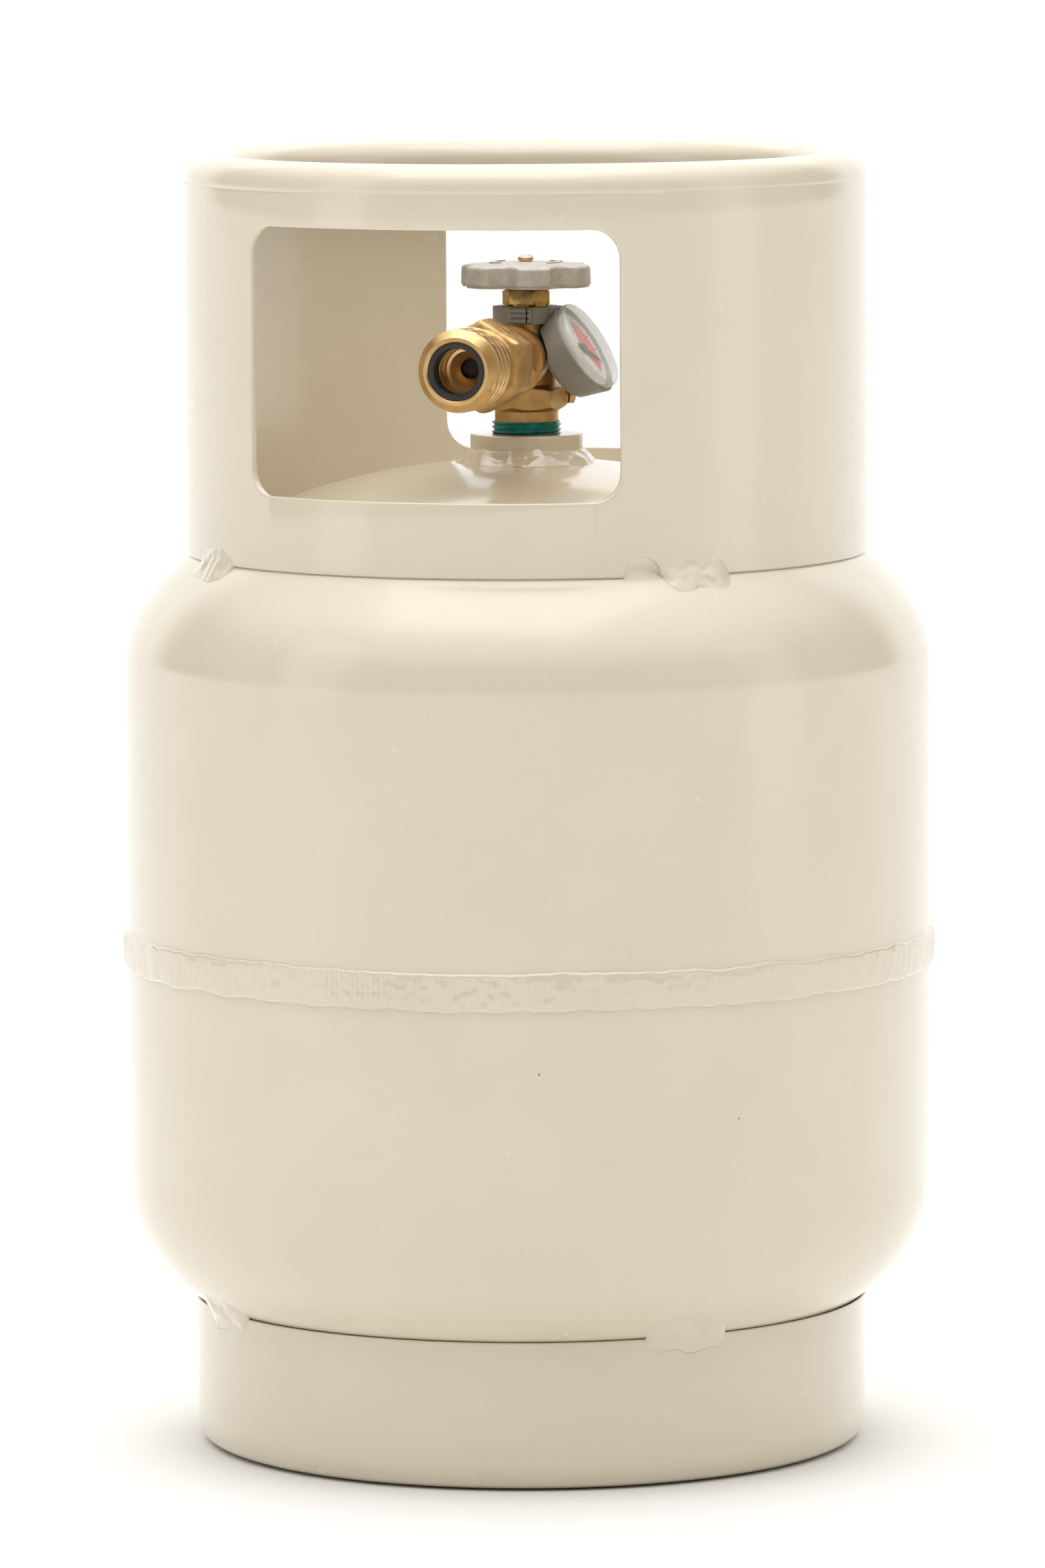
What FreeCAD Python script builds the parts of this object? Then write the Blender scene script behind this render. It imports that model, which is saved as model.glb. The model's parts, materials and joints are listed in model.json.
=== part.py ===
"""Propane cylinder for a caravan: a welded steel vessel with a collar and a foot ring, and a brass
service valve with a handwheel, a threaded outlet, a relief valve, a bleed screw, an overfill stop
and a magnetic level gauge.

Millimetres. The origin is on the floor at the middle of the foot ring, +Z is up, and the valve's
outlet points along -Y. A bearing is the angle about +Z from -Y towards +X. Heights in the valve, from
its thread to its handwheel and its float, are counted from the top of the neck flange.
"""
import FreeCAD, Part

import math
import os

# Vessel
BODY_R = 154.0              # outside radius of the cylinder
WALL = 2.3                  # sheet of the two shells
HEAD_DEPTH = 77.0           # depth of each ellipsoidal head
STRAIGHT = 200.0            # length between the heads
VESSEL_BASE = 22.4          # floor to the lowest point of the vessel
LOWER_TANGENT = VESSEL_BASE + HEAD_DEPTH    # levels where the heads begin
UPPER_TANGENT = LOWER_TANGENT + STRAIGHT
VESSEL_TOP = UPPER_TANGENT + HEAD_DEPTH
WELD_Z = LOWER_TANGENT + 91.6# middle of the girth weld
WELD_WIDTH = 14.5
WELD_PROUD = 1.5
WELD_ROOT = 2.0             # gap between the two shells that the weld fills
LIP_LENGTH = 12.0           # joggled lip of the lower shell, inside the upper one
LIP_GAP = 0.1

# Collar and foot ring
COLLAR_R = BODY_R - 24.0
COLLAR_SHEET = 2.6
COLLAR_TOP = VESSEL_TOP + 117.6
RIM_ROLL = 9.5              # outer radius of the rolled rim
RIM_CURL = 200.0            # degrees that the rim curls through
SHEET_GAP = 0.8             # collar and foot ring edges to the vessel
WINDOW_HALF = 33.9          # degrees each side of the front window's middle
WINDOW_LOW = COLLAR_TOP - 124.5
REAR_WINDOW_HALF = 32.4
REAR_WINDOW_LOW = COLLAR_TOP - 122.5
WINDOW_HIGH = COLLAR_TOP - 24.0
WINDOW_CORNER = 11.0
NOTCH_BEARING = 37.5
NOTCH_R = 7.3
FOOT_R = BODY_R - 24.8
FOOT_SHEET = 3.0
FOOT_BEND = 9.0             # outer radius of the bend at the bottom
FOOT_FLANGE_R = FOOT_R - 19.2# inner edge of the flat that meets the floor
SEAM_BEARING = 46.0         # collar welds, each side of the front and of the back
SEAM_SPAN = 15.5            # degrees
SEAM_FACE = 6.0             # reach of a weld up the sheet
FOOT_SEAM_BEARING = 45.0
FOOT_SEAM_SPAN = 14.0

# Neck
NECK_R = 21.5
NECK_TOP = VESSEL_TOP + 9.9
NECK_SPIGOT_R = NECK_R - 4.5# part of the neck flange inside the vessel's hole
NECK_SPIGOT = 8.0
NECK_WELD_R = NECK_R + 5.0
NECK_WELD_RISE = 4.2
PIPE_R = 13.1               # valve's taper thread, outside, at its top
PIPE_TOP = 4.7
PIPE_LENGTH = 25.0
PIPE_TAPER = 1 / 32         # radius per length of a taper pipe thread
THREAD_DEPTH = 0.9
THREAD_PITCH = 1.814
TIGHT = 0.02                # clearance of pieces that are screwed or pressed together
RUNNING = 0.06              # radial clearance of pieces that turn or slide
FREE = 0.3                  # clearance of pieces that never touch

# Valve body
STEM_R = 12.1               # round part above the thread
BLOCK_LOW = 9.7
BLOCK_HIGH = 17.7
BLOCK_FLATS = 27.0
BLOCK_BEARING = 54.5        # bearing of a corner
BARREL_R = 11.5
BARREL_TAPER_Z = 30.7
BARREL_TOP = 48.7
BARREL_TOP_R = 9.8
BARREL_TAPER = 9.0
GAS_R = 4.5
SEAT_Z = 18.7
SEAT_LAND = 1.0
CHAMBER_R = 7.2
CHAMBER_TOP = 35.7
OUTLET_Z = 28.7
PORT_R = 4.5

# Spindles and handwheel
BONNET_FLATS = 16.0
BONNET_BEARING = 35.0       # bearing of a corner
BONNET_HEX_HIGH = 54.7
BONNET_R = 8.4              # threaded sleeve inside the valve body
SPINDLE_R = 5.4
DISC_R = 6.0                # seat disc on the lower spindle's end
DISC_THICK = 4.0
SPINDLE_LOW = SEAT_Z + DISC_THICK
STEM_COLLAR_LOW = 44.7
SEAT_LIFT = 3.75            # rise of the seat disc and lower spindle over the handwheel's range
SPINDLE_HIGH = STEM_COLLAR_LOW - SEAT_LIFT - 0.25
SOCKET_FLATS = 4.4          # square drive between the two spindles
SOCKET_FLOOR = 4.0          # lower spindle's end to the floor of its socket
STEM_ROD_R = 3.4
STEM_ROD_TOP = 65.9
DRIVE_R = 2.3               # end of the upper spindle, inside the handwheel
STEM_COLLAR = 2.0
WHEEL_R = 24.9
WHEEL_VALLEY_R = WHEEL_R - 4.3
WHEEL_LOBES = 6
WHEEL_LOBE_BEARING = 25.8
WHEEL_LOW = 55.9
WHEEL_HIGH = 65.7
WHEEL_SKIN = 2.2
WHEEL_HUB_R = 7.6
WHEEL_EDGE = 1.8
SCREW_HEAD_R = 3.0
SCREW_HEAD = 2.2
SCREW_R = 1.2
SCREW_LENGTH = 8.0
RING_WIRE = 1.0             # section radius of the stem O-rings

# Outlet
OUTLET_FACE = 84.5          # valve axis to the outlet's face
ACME_R = 15.6
ACME_PITCH = 4.233
ACME_DEPTH = 1.7
ACME_TURNS = 3
ACME_CHAMFER = 2.9
ACME_LEAD = 3.2             # face to the first groove
OUTLET_NECK_R = ACME_R - 1.9
OUTLET_HEX_FLATS = 2 * ACME_R - 0.2
OUTLET_HEX_FRONT = 56.5     # distances from the valve axis
OUTLET_HEX_BACK = 36.5
OUTLET_SHANK_R = 12.0
OUTLET_DISC_R = 13.2
OUTLET_DISC = 3.5
OUTLET_SEATING = 16.5       # valve axis to the face that the connector screws up to
OUTLET_TAIL_R = 8.5
OUTLET_TAIL = 6.0
SEAL_R = ACME_R - 4.6
SEAL_BORE_R = SEAL_R - 2.3
SEAL_LENGTH = 6.3
SEAL_SET_BACK = 0.4
MOUTH_R = SEAL_R - 2.6
MOUTH_DEPTH = 17.0
CHECK_SEAT_R = 3.6
CHECK_SEAT = 3.5
CHECK_BORE_R = 6.4
CHECK_TRAVEL = 2.5
CHECK_HEAD_R = 5.3
CHECK_HEAD = 3.0
CHECK_STEM_R = 1.6
CHECK_CHAMBER = 22.0
GUIDE_THICK = 3.0
SPRING_WIRE = 0.45
SPRING_TURNS = 5

# Relief valve and bleed screw
RELIEF_Z = 14.2
RELIEF_R = 8.6
RELIEF_REACH = 22.0
RELIEF_PORT_R = 2.4
RELIEF_SEAT = 9.5           # valve axis to the relief seat
RELIEF_BORE_R = 6.0
RELIEF_SEAL = 1.2
RELIEF_POPPET = 4.0
RELIEF_CAP = 3.0
RELIEF_VENT_R = 2.2
BLEED_BEARING = 125.0
BLEED_R = 4.2
BLEED_REACH = 15.5
BLEED_BORE_R = 1.9
BLEED_SEAT = 8.2            # valve axis to the bleed screw's point
BLEED_HEAD_R = 3.3
BLEED_HEAD = 2.4
GASKET = 0.9
DIP_TUBE_R = 1.6
DIP_TUBE_BORE = 1.0
DIP_TUBE_LENGTH = 101.6
DIP_RADIUS = 8.2            # valve axis to the tube
DIP_TOP = 0.0               # Overfill stop and float
OPD_R = 11.0
OPD_LOW = -46.3
OPD_SPIGOT_R = 10.2
OPD_SPIGOT = 6.0
OPD_SLOT = 7.0
PISTON_R = 4.4
PISTON_LOW = -42.3
PISTON_LENGTH = 8.0
PISTON_TRAVEL = 3.0
PIVOT_Z = -54.3
PIVOT_R = 1.2
EAR_R = 4.0
EAR_THICK = 2.0
ARM_PLANE = -0.75           # Y of the middle of the float arm
ARM_HUB_R = 3.4
ARM_WIDTH = 2.2
ARM_R = 1.3
ARM_ANGLE = 30.0            # degrees from straight down to the resting arm
WHEEL_PLANE = -3.1          # Y of the middle of the arm's drive wheel
DRIVE_WHEEL_R = 5.6
DRIVE_WHEEL = 1.8
FLOAT_R = 10.0
FLOAT_LENGTH = 40.0
FLOAT_START = 26.0          # pivot to the near end of the float
SHAFT_BEARING = 75.0
SHAFT_RADIUS = 8.2          # valve axis to the gauge shaft
SHAFT_R = 1.2
SHAFT_TOP = 9.7
PINION_R = 1.65
PINION = 1.5
MAGNET_R = 1.5
MAGNET = 4.0

# Level gauge
GAUGE_TILT = 31.0           # degrees that the dial looks up
GAUGE_REAR = (12.9, 0.0, 26.5)
GAUGE_RIM_R = 18.8
GAUGE_REAR_R = GAUGE_RIM_R - 3.3
GAUGE_DEPTH = 12.1
GAUGE_WALL = 1.7
GAUGE_FLOOR = 6.0
GAUGE_LIP = 2.2             # depth of the seat for the lens
DIAL_R = GAUGE_RIM_R - 3.2
DIAL_AT = 8.4               # step in the housing that the dial's skirt stands on
DIAL_FACE = 11.4            # its printed face
DIAL_THICK = 0.6
LENS_R = GAUGE_RIM_R - 0.9
LENS_RISE = 4.2
LENS_DOME = 1.3
LENS_WALL = 1.4
NEEDLE_LENGTH = DIAL_R - 3.1
NEEDLE_WIDTH = 1.4
NEEDLE_THICK = 0.35
NEEDLE_GAP = 0.5
NEEDLE_REST = -120.0        # degrees about the dial's axis from the dial's top
ARBOR_R = 0.8
NEEDLE_MAGNET_R = 3.6
NEEDLE_MAGNET = 1.4
CLAMP_R = BARREL_TOP_R + 2.9
CLAMP_LOW = 42.1
CLAMP_HEIGHT = 6.4
CLAMP_BEARING = 8.0         # bearing of the latch
LATCH_WIDTH = 9.0
LATCH_DEPTH = 1.6
CLAMP_ARM_WIDTH = 11.0
CLAMP_ARM_END = 17.5

FULL_TURN = 360.0
UP = FreeCAD.Vector(0, 0, 1)
ORIGIN = FreeCAD.Vector(0, 0, 0)


def vector(x, y, z=0.0):
    return FreeCAD.Vector(x, y, z)


def bearing_point(radius, bearing, z=0.0):
    """The point at a radius from the valve's axis, on a bearing."""
    angle = math.radians(bearing)
    return vector(radius * math.sin(angle), -radius * math.cos(angle), z)


# Values worked out from the driving dimensions
TIP = OUTLET_FACE - MOUTH_DEPTH             # valve axis to the check valve's seat block
CHECK_BACK = TIP - CHECK_SEAT               # and to the seat itself
GUIDE_AT = CHECK_BACK - CHECK_CHAMBER
BONNET_LOW = CHAMBER_TOP + TIGHT
PIVOT_X = bearing_point(SHAFT_RADIUS, SHAFT_BEARING).x - PINION_R


def bearing_direction(bearing):
    return bearing_point(1.0, bearing)


def shell_rise(radius):
    """How far a head stands out from its tangent plane at a radius."""
    return HEAD_DEPTH * math.sqrt(1 - (radius / BODY_R) ** 2)


def upper_surface(radius):
    return UPPER_TANGENT + shell_rise(radius)


def lower_surface(radius):
    return LOWER_TANGENT - shell_rise(radius)


def outline(points):
    """A closed wire in the XZ plane through (r, z) points. A point given as (r, z, mid_r, mid_z) is
    reached by an arc through the mid point."""
    edges = []
    for index, point in enumerate(points):
        start = points[index - 1]
        a, b = vector(start[0], 0, start[1]), vector(point[0], 0, point[1])
        if len(point) == 4:
            edges.append(Part.Arc(a, vector(point[2], 0, point[3]), b).toShape())
        elif a.distanceToPoint(b) > 0:
            edges.append(Part.LineSegment(a, b).toShape())
    return Part.Wire(Part.__sortEdges__(edges))


def dome(edge_r, edge_z, top_z):
    """The point that a spherical cap ends at on the axis, reached from its edge."""
    rise = top_z - edge_z
    sphere_r = (edge_r ** 2 + rise ** 2) / (2 * rise)
    half = math.asin(edge_r / sphere_r) / 2
    return 0, top_z, sphere_r * math.sin(half), top_z - sphere_r * (1 - math.cos(half))


def dome_from_top(edge_r, edge_z, top_z):
    """The edge point of a spherical cap, reached from its top on the axis."""
    return (edge_r, edge_z) + dome(edge_r, edge_z, top_z)[2:]


def spin(points, start=0.0, sweep=FULL_TURN):
    """The solid that an outline sweeps about the Z axis, from a bearing."""
    solid = Part.Face(outline(points)).revolve(ORIGIN, UP, sweep)
    return solid.rotated(ORIGIN, UP, start - 90)


def cylinder(radius, low, high, x=0.0, y=0.0):
    return Part.makeCylinder(radius, high - low, vector(x, y, low))


def tube(outer, inner, low, high, x=0.0, y=0.0):
    return cylinder(outer, low, high, x, y).cut(cylinder(inner, low - 1, high + 1, x, y))


def prism(sides, flats, low, high, corner=0.0):
    """A regular prism about Z, by its width across flats, with a corner on a bearing."""
    radius = flats / 2 / math.cos(math.pi / sides)
    step = FULL_TURN / sides
    corners = [bearing_point(radius, corner + step * k, low) for k in range(sides + 1)]
    return Part.Face(Part.makePolygon(corners)).extrude(vector(0, 0, high - low))


def chamfered_prism(sides, flats, low, high, corner, bevel):
    """A prism whose corners are turned off at both ends, as on a nut."""
    reach = flats / 2 / math.cos(math.pi / sides)
    inner = flats / 2
    turned = spin([(0, low), (inner, low), (reach + bevel, low + (reach + bevel - inner) / 2),
                   (reach + bevel, high - (reach + bevel - inner) / 2), (inner, high), (0, high)])
    return prism(sides, flats, low, high, corner).common(turned)


def aimed(shape, base, direction):
    """Moves a shape built about +Z so that its axis starts at base and points along direction."""
    turned = FreeCAD.Rotation(UP, direction)
    return shape.transformed(FreeCAD.Placement(base, turned).toMatrix())


def across(radius, y_low, y_high, x, z):
    """A cylinder along Y between two values of Y."""
    return Part.makeCylinder(radius, y_high - y_low, vector(x, y_low, z), vector(0, 1, 0))


def outward(shape, bearing, z):
    """Moves a shape built about +Z so that its axis leaves the valve's axis on a bearing."""
    return aimed(shape, vector(0, 0, z), bearing_direction(bearing))


def save(name, shape):
    if not shape.isValid():
        print("not valid:", name)
    shape.removeSplitter().exportStep("parts/" + name + ".step")


# ---------------------------------------------------------------- vessel

def head_arc(radius, depth, tangent, hole_r):
    """Elliptical edge of a head, from its tangent plane to the rim of its hole, or to the axis."""
    ellipse = Part.Ellipse(vector(radius, 0, tangent), vector(0, 0, tangent + depth), vector(0, 0, tangent))
    if depth < 0:
        ellipse = Part.Ellipse(vector(-radius, 0, tangent), vector(0, 0, tangent + depth),
                               vector(0, 0, tangent))
    angle = math.acos(hole_r / radius)
    angles = (0, angle) if depth > 0 else (math.pi - angle, math.pi)
    curve = Part.ArcOfEllipse(ellipse, *angles).toBSpline()
    rim = 1 if depth < 0 else curve.NbPoles
    curve.setPole(rim, vector(hole_r, 0, head_rim(radius, depth, tangent, hole_r)))
    return curve.toShape()


def head_rim(radius, depth, tangent, hole_r):
    return tangent + depth * math.sqrt(1 - (hole_r / radius) ** 2)


def shell(tangent, side, hole_r, ends):
    """One half of the vessel, side +1 for the upper one. ends are the (r, z) points of its open edge,
    from outside to inside."""
    inner_r = BODY_R - WALL
    depth, inner_depth = side * HEAD_DEPTH, side * (HEAD_DEPTH - WALL)
    crown = [(hole_r, head_rim(BODY_R, depth, tangent, hole_r)),
             (hole_r, head_rim(inner_r, inner_depth, tangent, hole_r))]
    chain = [(BODY_R, tangent)] + ends + [(inner_r, tangent)]
    edges = [head_arc(BODY_R, depth, tangent, hole_r), head_arc(inner_r, inner_depth, tangent, hole_r)]
    for a, b in [crown] + list(zip(chain, chain[1:])):
        edges.append(Part.LineSegment(vector(a[0], 0, a[1]), vector(b[0], 0, b[1])).toShape())
    return Part.Face(Part.Wire(Part.__sortEdges__(edges))).revolve(ORIGIN, UP, FULL_TURN)


def upper_shell():
    low = WELD_Z + WELD_ROOT / 2
    return shell(UPPER_TANGENT, 1, NECK_SPIGOT_R + TIGHT, [(BODY_R, low), (BODY_R - WALL, low)])


def lower_shell():
    high = WELD_Z - WELD_ROOT / 2
    lip_out = BODY_R - WALL - LIP_GAP
    lip_in = lip_out - WALL
    ends = [(BODY_R, high), (lip_out, high), (lip_out, high + LIP_LENGTH), (lip_in, high + LIP_LENGTH),
            (lip_in, high - WALL), (BODY_R - WALL, high - 2 * WALL)]
    return shell(LOWER_TANGENT, -1, 0.0, ends)


def girth_weld():
    low, high = WELD_Z - WELD_WIDTH / 2, WELD_Z + WELD_WIDTH / 2
    root = WELD_ROOT / 2
    return spin([(BODY_R, low), (BODY_R, high, BODY_R + WELD_PROUD, WELD_Z), (BODY_R, WELD_Z + root),
                 (BODY_R - WALL, WELD_Z + root), (BODY_R - WALL, WELD_Z - root),
                 (BODY_R, WELD_Z - root)])


def neck_flange():
    bore_top = pipe_radius(0) + TIGHT
    base = VESSEL_TOP - NECK_SPIGOT
    bore_low = pipe_radius(base - NECK_TOP) + TIGHT
    bevel = 0.8
    return spin([(bore_top, NECK_TOP), (NECK_R - bevel, NECK_TOP), (NECK_R, NECK_TOP - bevel),
                 (NECK_R, VESSEL_TOP), (NECK_SPIGOT_R, VESSEL_TOP), (NECK_SPIGOT_R, base),
                 (bore_low, base)])


def neck_weld():
    top = VESSEL_TOP + NECK_WELD_RISE
    foot = upper_surface(NECK_WELD_R)
    mid_r, mid_z = (NECK_R + NECK_WELD_R) / 2 - 0.3, (top + foot) / 2 - 0.3
    under = (NECK_R + NECK_WELD_R) / 2
    return spin([(NECK_R, top), (NECK_WELD_R, foot, mid_r, mid_z),
                 (NECK_R, upper_surface(NECK_R), under, upper_surface(under))])


# ---------------------------------------------------------------- collar and foot ring

def window(bearing, half_width, low_edge):
    """A rounded window through the collar, with radial sides."""
    corner = math.degrees(WINDOW_CORNER / COLLAR_R)
    inner, outer = COLLAR_R - 2 * RIM_ROLL, COLLAR_R + 5

    def slab(half, low, high):
        return spin([(inner, low), (outer, low), (outer, high), (inner, high)],
                    bearing - half, 2 * half)

    wide = slab(half_width, low_edge + WINDOW_CORNER, WINDOW_HIGH - WINDOW_CORNER)
    cut = wide.fuse(slab(half_width - corner, low_edge, WINDOW_HIGH))
    for side in (-1, 1):
        for z in (low_edge + WINDOW_CORNER, WINDOW_HIGH - WINDOW_CORNER):
            post = Part.makeCylinder(WINDOW_CORNER, outer - inner, vector(0, 0, inner), UP)
            cut = cut.fuse(outward(post, bearing + side * (half_width - corner), z))
    return cut


def collar():
    inner = COLLAR_R - COLLAR_SHEET
    centre_r, centre_z = COLLAR_R - RIM_ROLL, COLLAR_TOP - RIM_ROLL
    inside_roll = RIM_ROLL - COLLAR_SHEET

    def on_roll(radius, angle):
        return (centre_r + radius * math.cos(math.radians(angle)),
                centre_z + radius * math.sin(math.radians(angle)))

    points = [(inner, upper_surface(inner) + SHEET_GAP), (COLLAR_R, upper_surface(COLLAR_R) + SHEET_GAP),
              (COLLAR_R, centre_z), on_roll(RIM_ROLL, RIM_CURL) + on_roll(RIM_ROLL, RIM_CURL / 2),
              on_roll(inside_roll, RIM_CURL), (inner, centre_z) + on_roll(inside_roll, RIM_CURL / 2)]
    ring = spin(points)
    ring = ring.cut(window(0, WINDOW_HALF, WINDOW_LOW))
    ring = ring.cut(window(180, REAR_WINDOW_HALF, REAR_WINDOW_LOW))
    for bearing in (NOTCH_BEARING, NOTCH_BEARING + 180):
        drill = Part.makeCylinder(NOTCH_R, 4 * COLLAR_SHEET, vector(0, 0, COLLAR_R - 3 * COLLAR_SHEET))
        ring = ring.cut(outward(drill, bearing, upper_surface(COLLAR_R) + SHEET_GAP))
    return ring


def foot_ring():
    inner = FOOT_R - FOOT_SHEET
    inside_bend = FOOT_BEND - FOOT_SHEET
    centre_r = FOOT_R - FOOT_BEND
    slant = math.sqrt(0.5)
    return spin([(FOOT_FLANGE_R, 0), (centre_r, 0),
                 (FOOT_R, FOOT_BEND, centre_r + FOOT_BEND * slant, FOOT_BEND * (1 - slant)),
                 (FOOT_R, lower_surface(FOOT_R) - SHEET_GAP), (inner, lower_surface(inner) - SHEET_GAP),
                 (inner, FOOT_BEND),
                 (centre_r, FOOT_SHEET, centre_r + inside_bend * slant,
                  FOOT_BEND - inside_bend * slant),
                 (FOOT_FLANGE_R, FOOT_SHEET)])


def seams(radius, sheet, surface, side, bearings, span):
    """Short fillet welds in the corner between a ring and the vessel. side is +1 above the vessel."""
    reach = SEAM_FACE
    start = radius
    foot_r = radius + reach
    edge = surface(start) + side * (SHEET_GAP + reach)
    swell = 0.7
    mid = ((start + foot_r) / 2 + swell * 0.6, (edge + surface(foot_r)) / 2 + side * swell)
    root = start - sheet / 2
    under = (foot_r + root) / 2
    points = [(start, edge), (foot_r, surface(foot_r)) + mid, (root, surface(root), under, surface(under)),
              (root, surface(root) + side * SHEET_GAP), (start, surface(start) + side * SHEET_GAP)]
    return Part.makeCompound([spin(points, b - span / 2, span) for b in bearings])


def collar_welds():
    bearings = [180 * k + s * SEAM_BEARING for k in (0, 1) for s in (-1, 1)]
    return seams(COLLAR_R, COLLAR_SHEET, upper_surface, 1, bearings, SEAM_SPAN)


def foot_ring_welds():
    bearings = [FOOT_SEAM_BEARING + 90 * k for k in range(4)]
    return seams(FOOT_R, FOOT_SHEET, lower_surface, -1, bearings, FOOT_SEAM_SPAN)


# ---------------------------------------------------------------- valve body

def barrel_radius(z):
    """Radius of the barrel above the block, which narrows towards the gauge's clamp."""
    share = min(1.0, max(0.0, (z - BARREL_TAPER_Z) / BARREL_TAPER))
    return BARREL_R + (BARREL_TOP_R - BARREL_R) * share


def pipe_radius(z):
    return PIPE_R - (PIPE_TOP - z) * PIPE_TAPER


def valve_forging():
    """Outside of the valve body, before any bore."""
    foot = PIPE_TOP - PIPE_LENGTH
    root = THREAD_DEPTH
    stem_low = PIPE_TOP + 0.6
    sealed = -2 * THREAD_PITCH
    solid = spin([(0, foot), (pipe_radius(foot), foot), (pipe_radius(sealed), sealed),
                  (pipe_radius(sealed) - root, sealed), (PIPE_R - root, PIPE_TOP), (STEM_R, stem_low),
                  (STEM_R, BLOCK_LOW), (BARREL_R, BLOCK_LOW), (BARREL_R, BARREL_TAPER_Z),
                  (BARREL_TOP_R, BARREL_TAPER_Z + BARREL_TAPER), (BARREL_TOP_R, BARREL_TOP),
                  (0, BARREL_TOP)])
    shoulder = 1.0
    block = prism(6, BLOCK_FLATS, BLOCK_LOW - shoulder, BLOCK_HIGH + shoulder, BLOCK_BEARING)
    reach = BLOCK_FLATS / math.sqrt(3)
    block = block.common(spin([(0, BLOCK_LOW - shoulder), (STEM_R, BLOCK_LOW - shoulder),
                               (reach, BLOCK_LOW + shoulder), (reach, BLOCK_HIGH - shoulder),
                               (BARREL_R, BLOCK_HIGH + shoulder), (0, BLOCK_HIGH + shoulder)]))
    solid = solid.fuse(block)
    boss_r = OUTLET_DISC_R - 0.8
    boss = spin([(0, 0), (BARREL_TOP_R, 0), (boss_r, OUTLET_SEATING - 4), (boss_r, OUTLET_SEATING - TIGHT),
                 (0, OUTLET_SEATING - TIGHT)])
    solid = solid.fuse(outward(boss, 0, OUTLET_Z))
    relief_bevel = 1.2
    relief = spin([(0, 0), (RELIEF_R, 0), (RELIEF_R, RELIEF_REACH - relief_bevel),
                   (RELIEF_R - relief_bevel, RELIEF_REACH), (0, RELIEF_REACH)])
    solid = solid.fuse(outward(relief, 180, RELIEF_Z))
    return solid.fuse(outward(cylinder(BLEED_R, 0, BLEED_REACH), BLEED_BEARING, RELIEF_Z))


def valve_body():
    foot = PIPE_TOP - PIPE_LENGTH
    solid = valve_forging()
    cuts = [cylinder(OPD_SPIGOT_R + TIGHT, foot - 1, foot + OPD_SPIGOT),
            cylinder(GAS_R, foot - 1, SEAT_Z + 1),
            spin([(0, SEAT_Z), (GAS_R + SEAT_LAND, SEAT_Z), (GAS_R + SEAT_LAND, SEAT_Z - SEAT_LAND),
                  (CHAMBER_R, SEAT_Z - SEAT_LAND), (CHAMBER_R, CHAMBER_TOP), (BONNET_R + TIGHT, CHAMBER_TOP),
                  (BONNET_R + TIGHT, BARREL_TOP + 1), (0, BARREL_TOP + 1)]),
            outward(cylinder(PORT_R, 0, OUTLET_SEATING + 1), 0, OUTLET_Z),
            outward(cylinder(OUTLET_TAIL_R + TIGHT, OUTLET_SEATING - OUTLET_TAIL - FREE,
                             OUTLET_SEATING + 1), 0, OUTLET_Z),
            outward(cylinder(RELIEF_PORT_R, 0, RELIEF_REACH), 180, RELIEF_Z),
            outward(cylinder(RELIEF_BORE_R, RELIEF_SEAT, RELIEF_REACH + 1), 180, RELIEF_Z),
            outward(cylinder(BLEED_BORE_R + RUNNING, BLEED_SEAT, BLEED_REACH + 1), BLEED_BEARING, RELIEF_Z),
            hole_at(BLEED_BEARING, DIP_RADIUS, DIP_TUBE_BORE, foot - 1, RELIEF_Z),
            hole_at(BLEED_BEARING, DIP_RADIUS, DIP_TUBE_R + TIGHT, foot - 1, DIP_TOP),
            hole_at(SHAFT_BEARING, SHAFT_RADIUS, MAGNET_R + FREE, foot - 1, SHAFT_TOP + MAGNET + FREE)]
    for cut in cuts:
        solid = solid.cut(cut)
    return solid


def hole_at(bearing, radius, hole_r, low, high):
    centre = bearing_point(radius, bearing)
    return cylinder(hole_r, low, high, centre.x, centre.y)


def thread_sealant():
    """The taper thread's exposed turns under their sealing compound."""
    low = 0.05
    inner = THREAD_DEPTH - TIGHT
    return spin([(pipe_radius(low) - inner, low), (pipe_radius(low), low), (PIPE_R, PIPE_TOP - 0.2),
                 (PIPE_R - inner, PIPE_TOP - 0.2)])


# ---------------------------------------------------------------- spindles and handwheel

def bonnet_nut():
    hexagon = chamfered_prism(6, BONNET_FLATS, BARREL_TOP + TIGHT, BONNET_HEX_HIGH, BONNET_BEARING, 0.3)
    nut = hexagon.fuse(cylinder(BONNET_R, BONNET_LOW, BARREL_TOP + 1))
    collar_top = STEM_COLLAR_LOW + STEM_COLLAR + RUNNING
    nut = nut.cut(cylinder(SPINDLE_R + RUNNING, BONNET_LOW - 1, collar_top))
    return nut.cut(cylinder(STEM_ROD_R + RUNNING, BONNET_LOW, BONNET_HEX_HIGH + 1))


def upper_spindle():
    collar_r = SPINDLE_R - 0.1
    solid = cylinder(STEM_ROD_R, STEM_COLLAR_LOW, WHEEL_LOW)
    solid = solid.fuse(cylinder(DRIVE_R, WHEEL_LOW, STEM_ROD_TOP))
    solid = solid.fuse(cylinder(collar_r, STEM_COLLAR_LOW, STEM_COLLAR_LOW + STEM_COLLAR))
    tang_low = SPINDLE_LOW + SOCKET_FLOOR + SEAT_LIFT + FREE
    tang = prism(4, SOCKET_FLATS, tang_low, STEM_COLLAR_LOW)
    for z in ring_levels():
        solid = solid.cut(tube(STEM_ROD_R + 1, STEM_ROD_R - RING_WIRE * 1.2, z - RING_WIRE, z + RING_WIRE))
    solid = solid.fuse(tang)
    return solid.cut(cylinder(SCREW_R + TIGHT, STEM_ROD_TOP - SCREW_LENGTH, STEM_ROD_TOP + 1))


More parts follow.
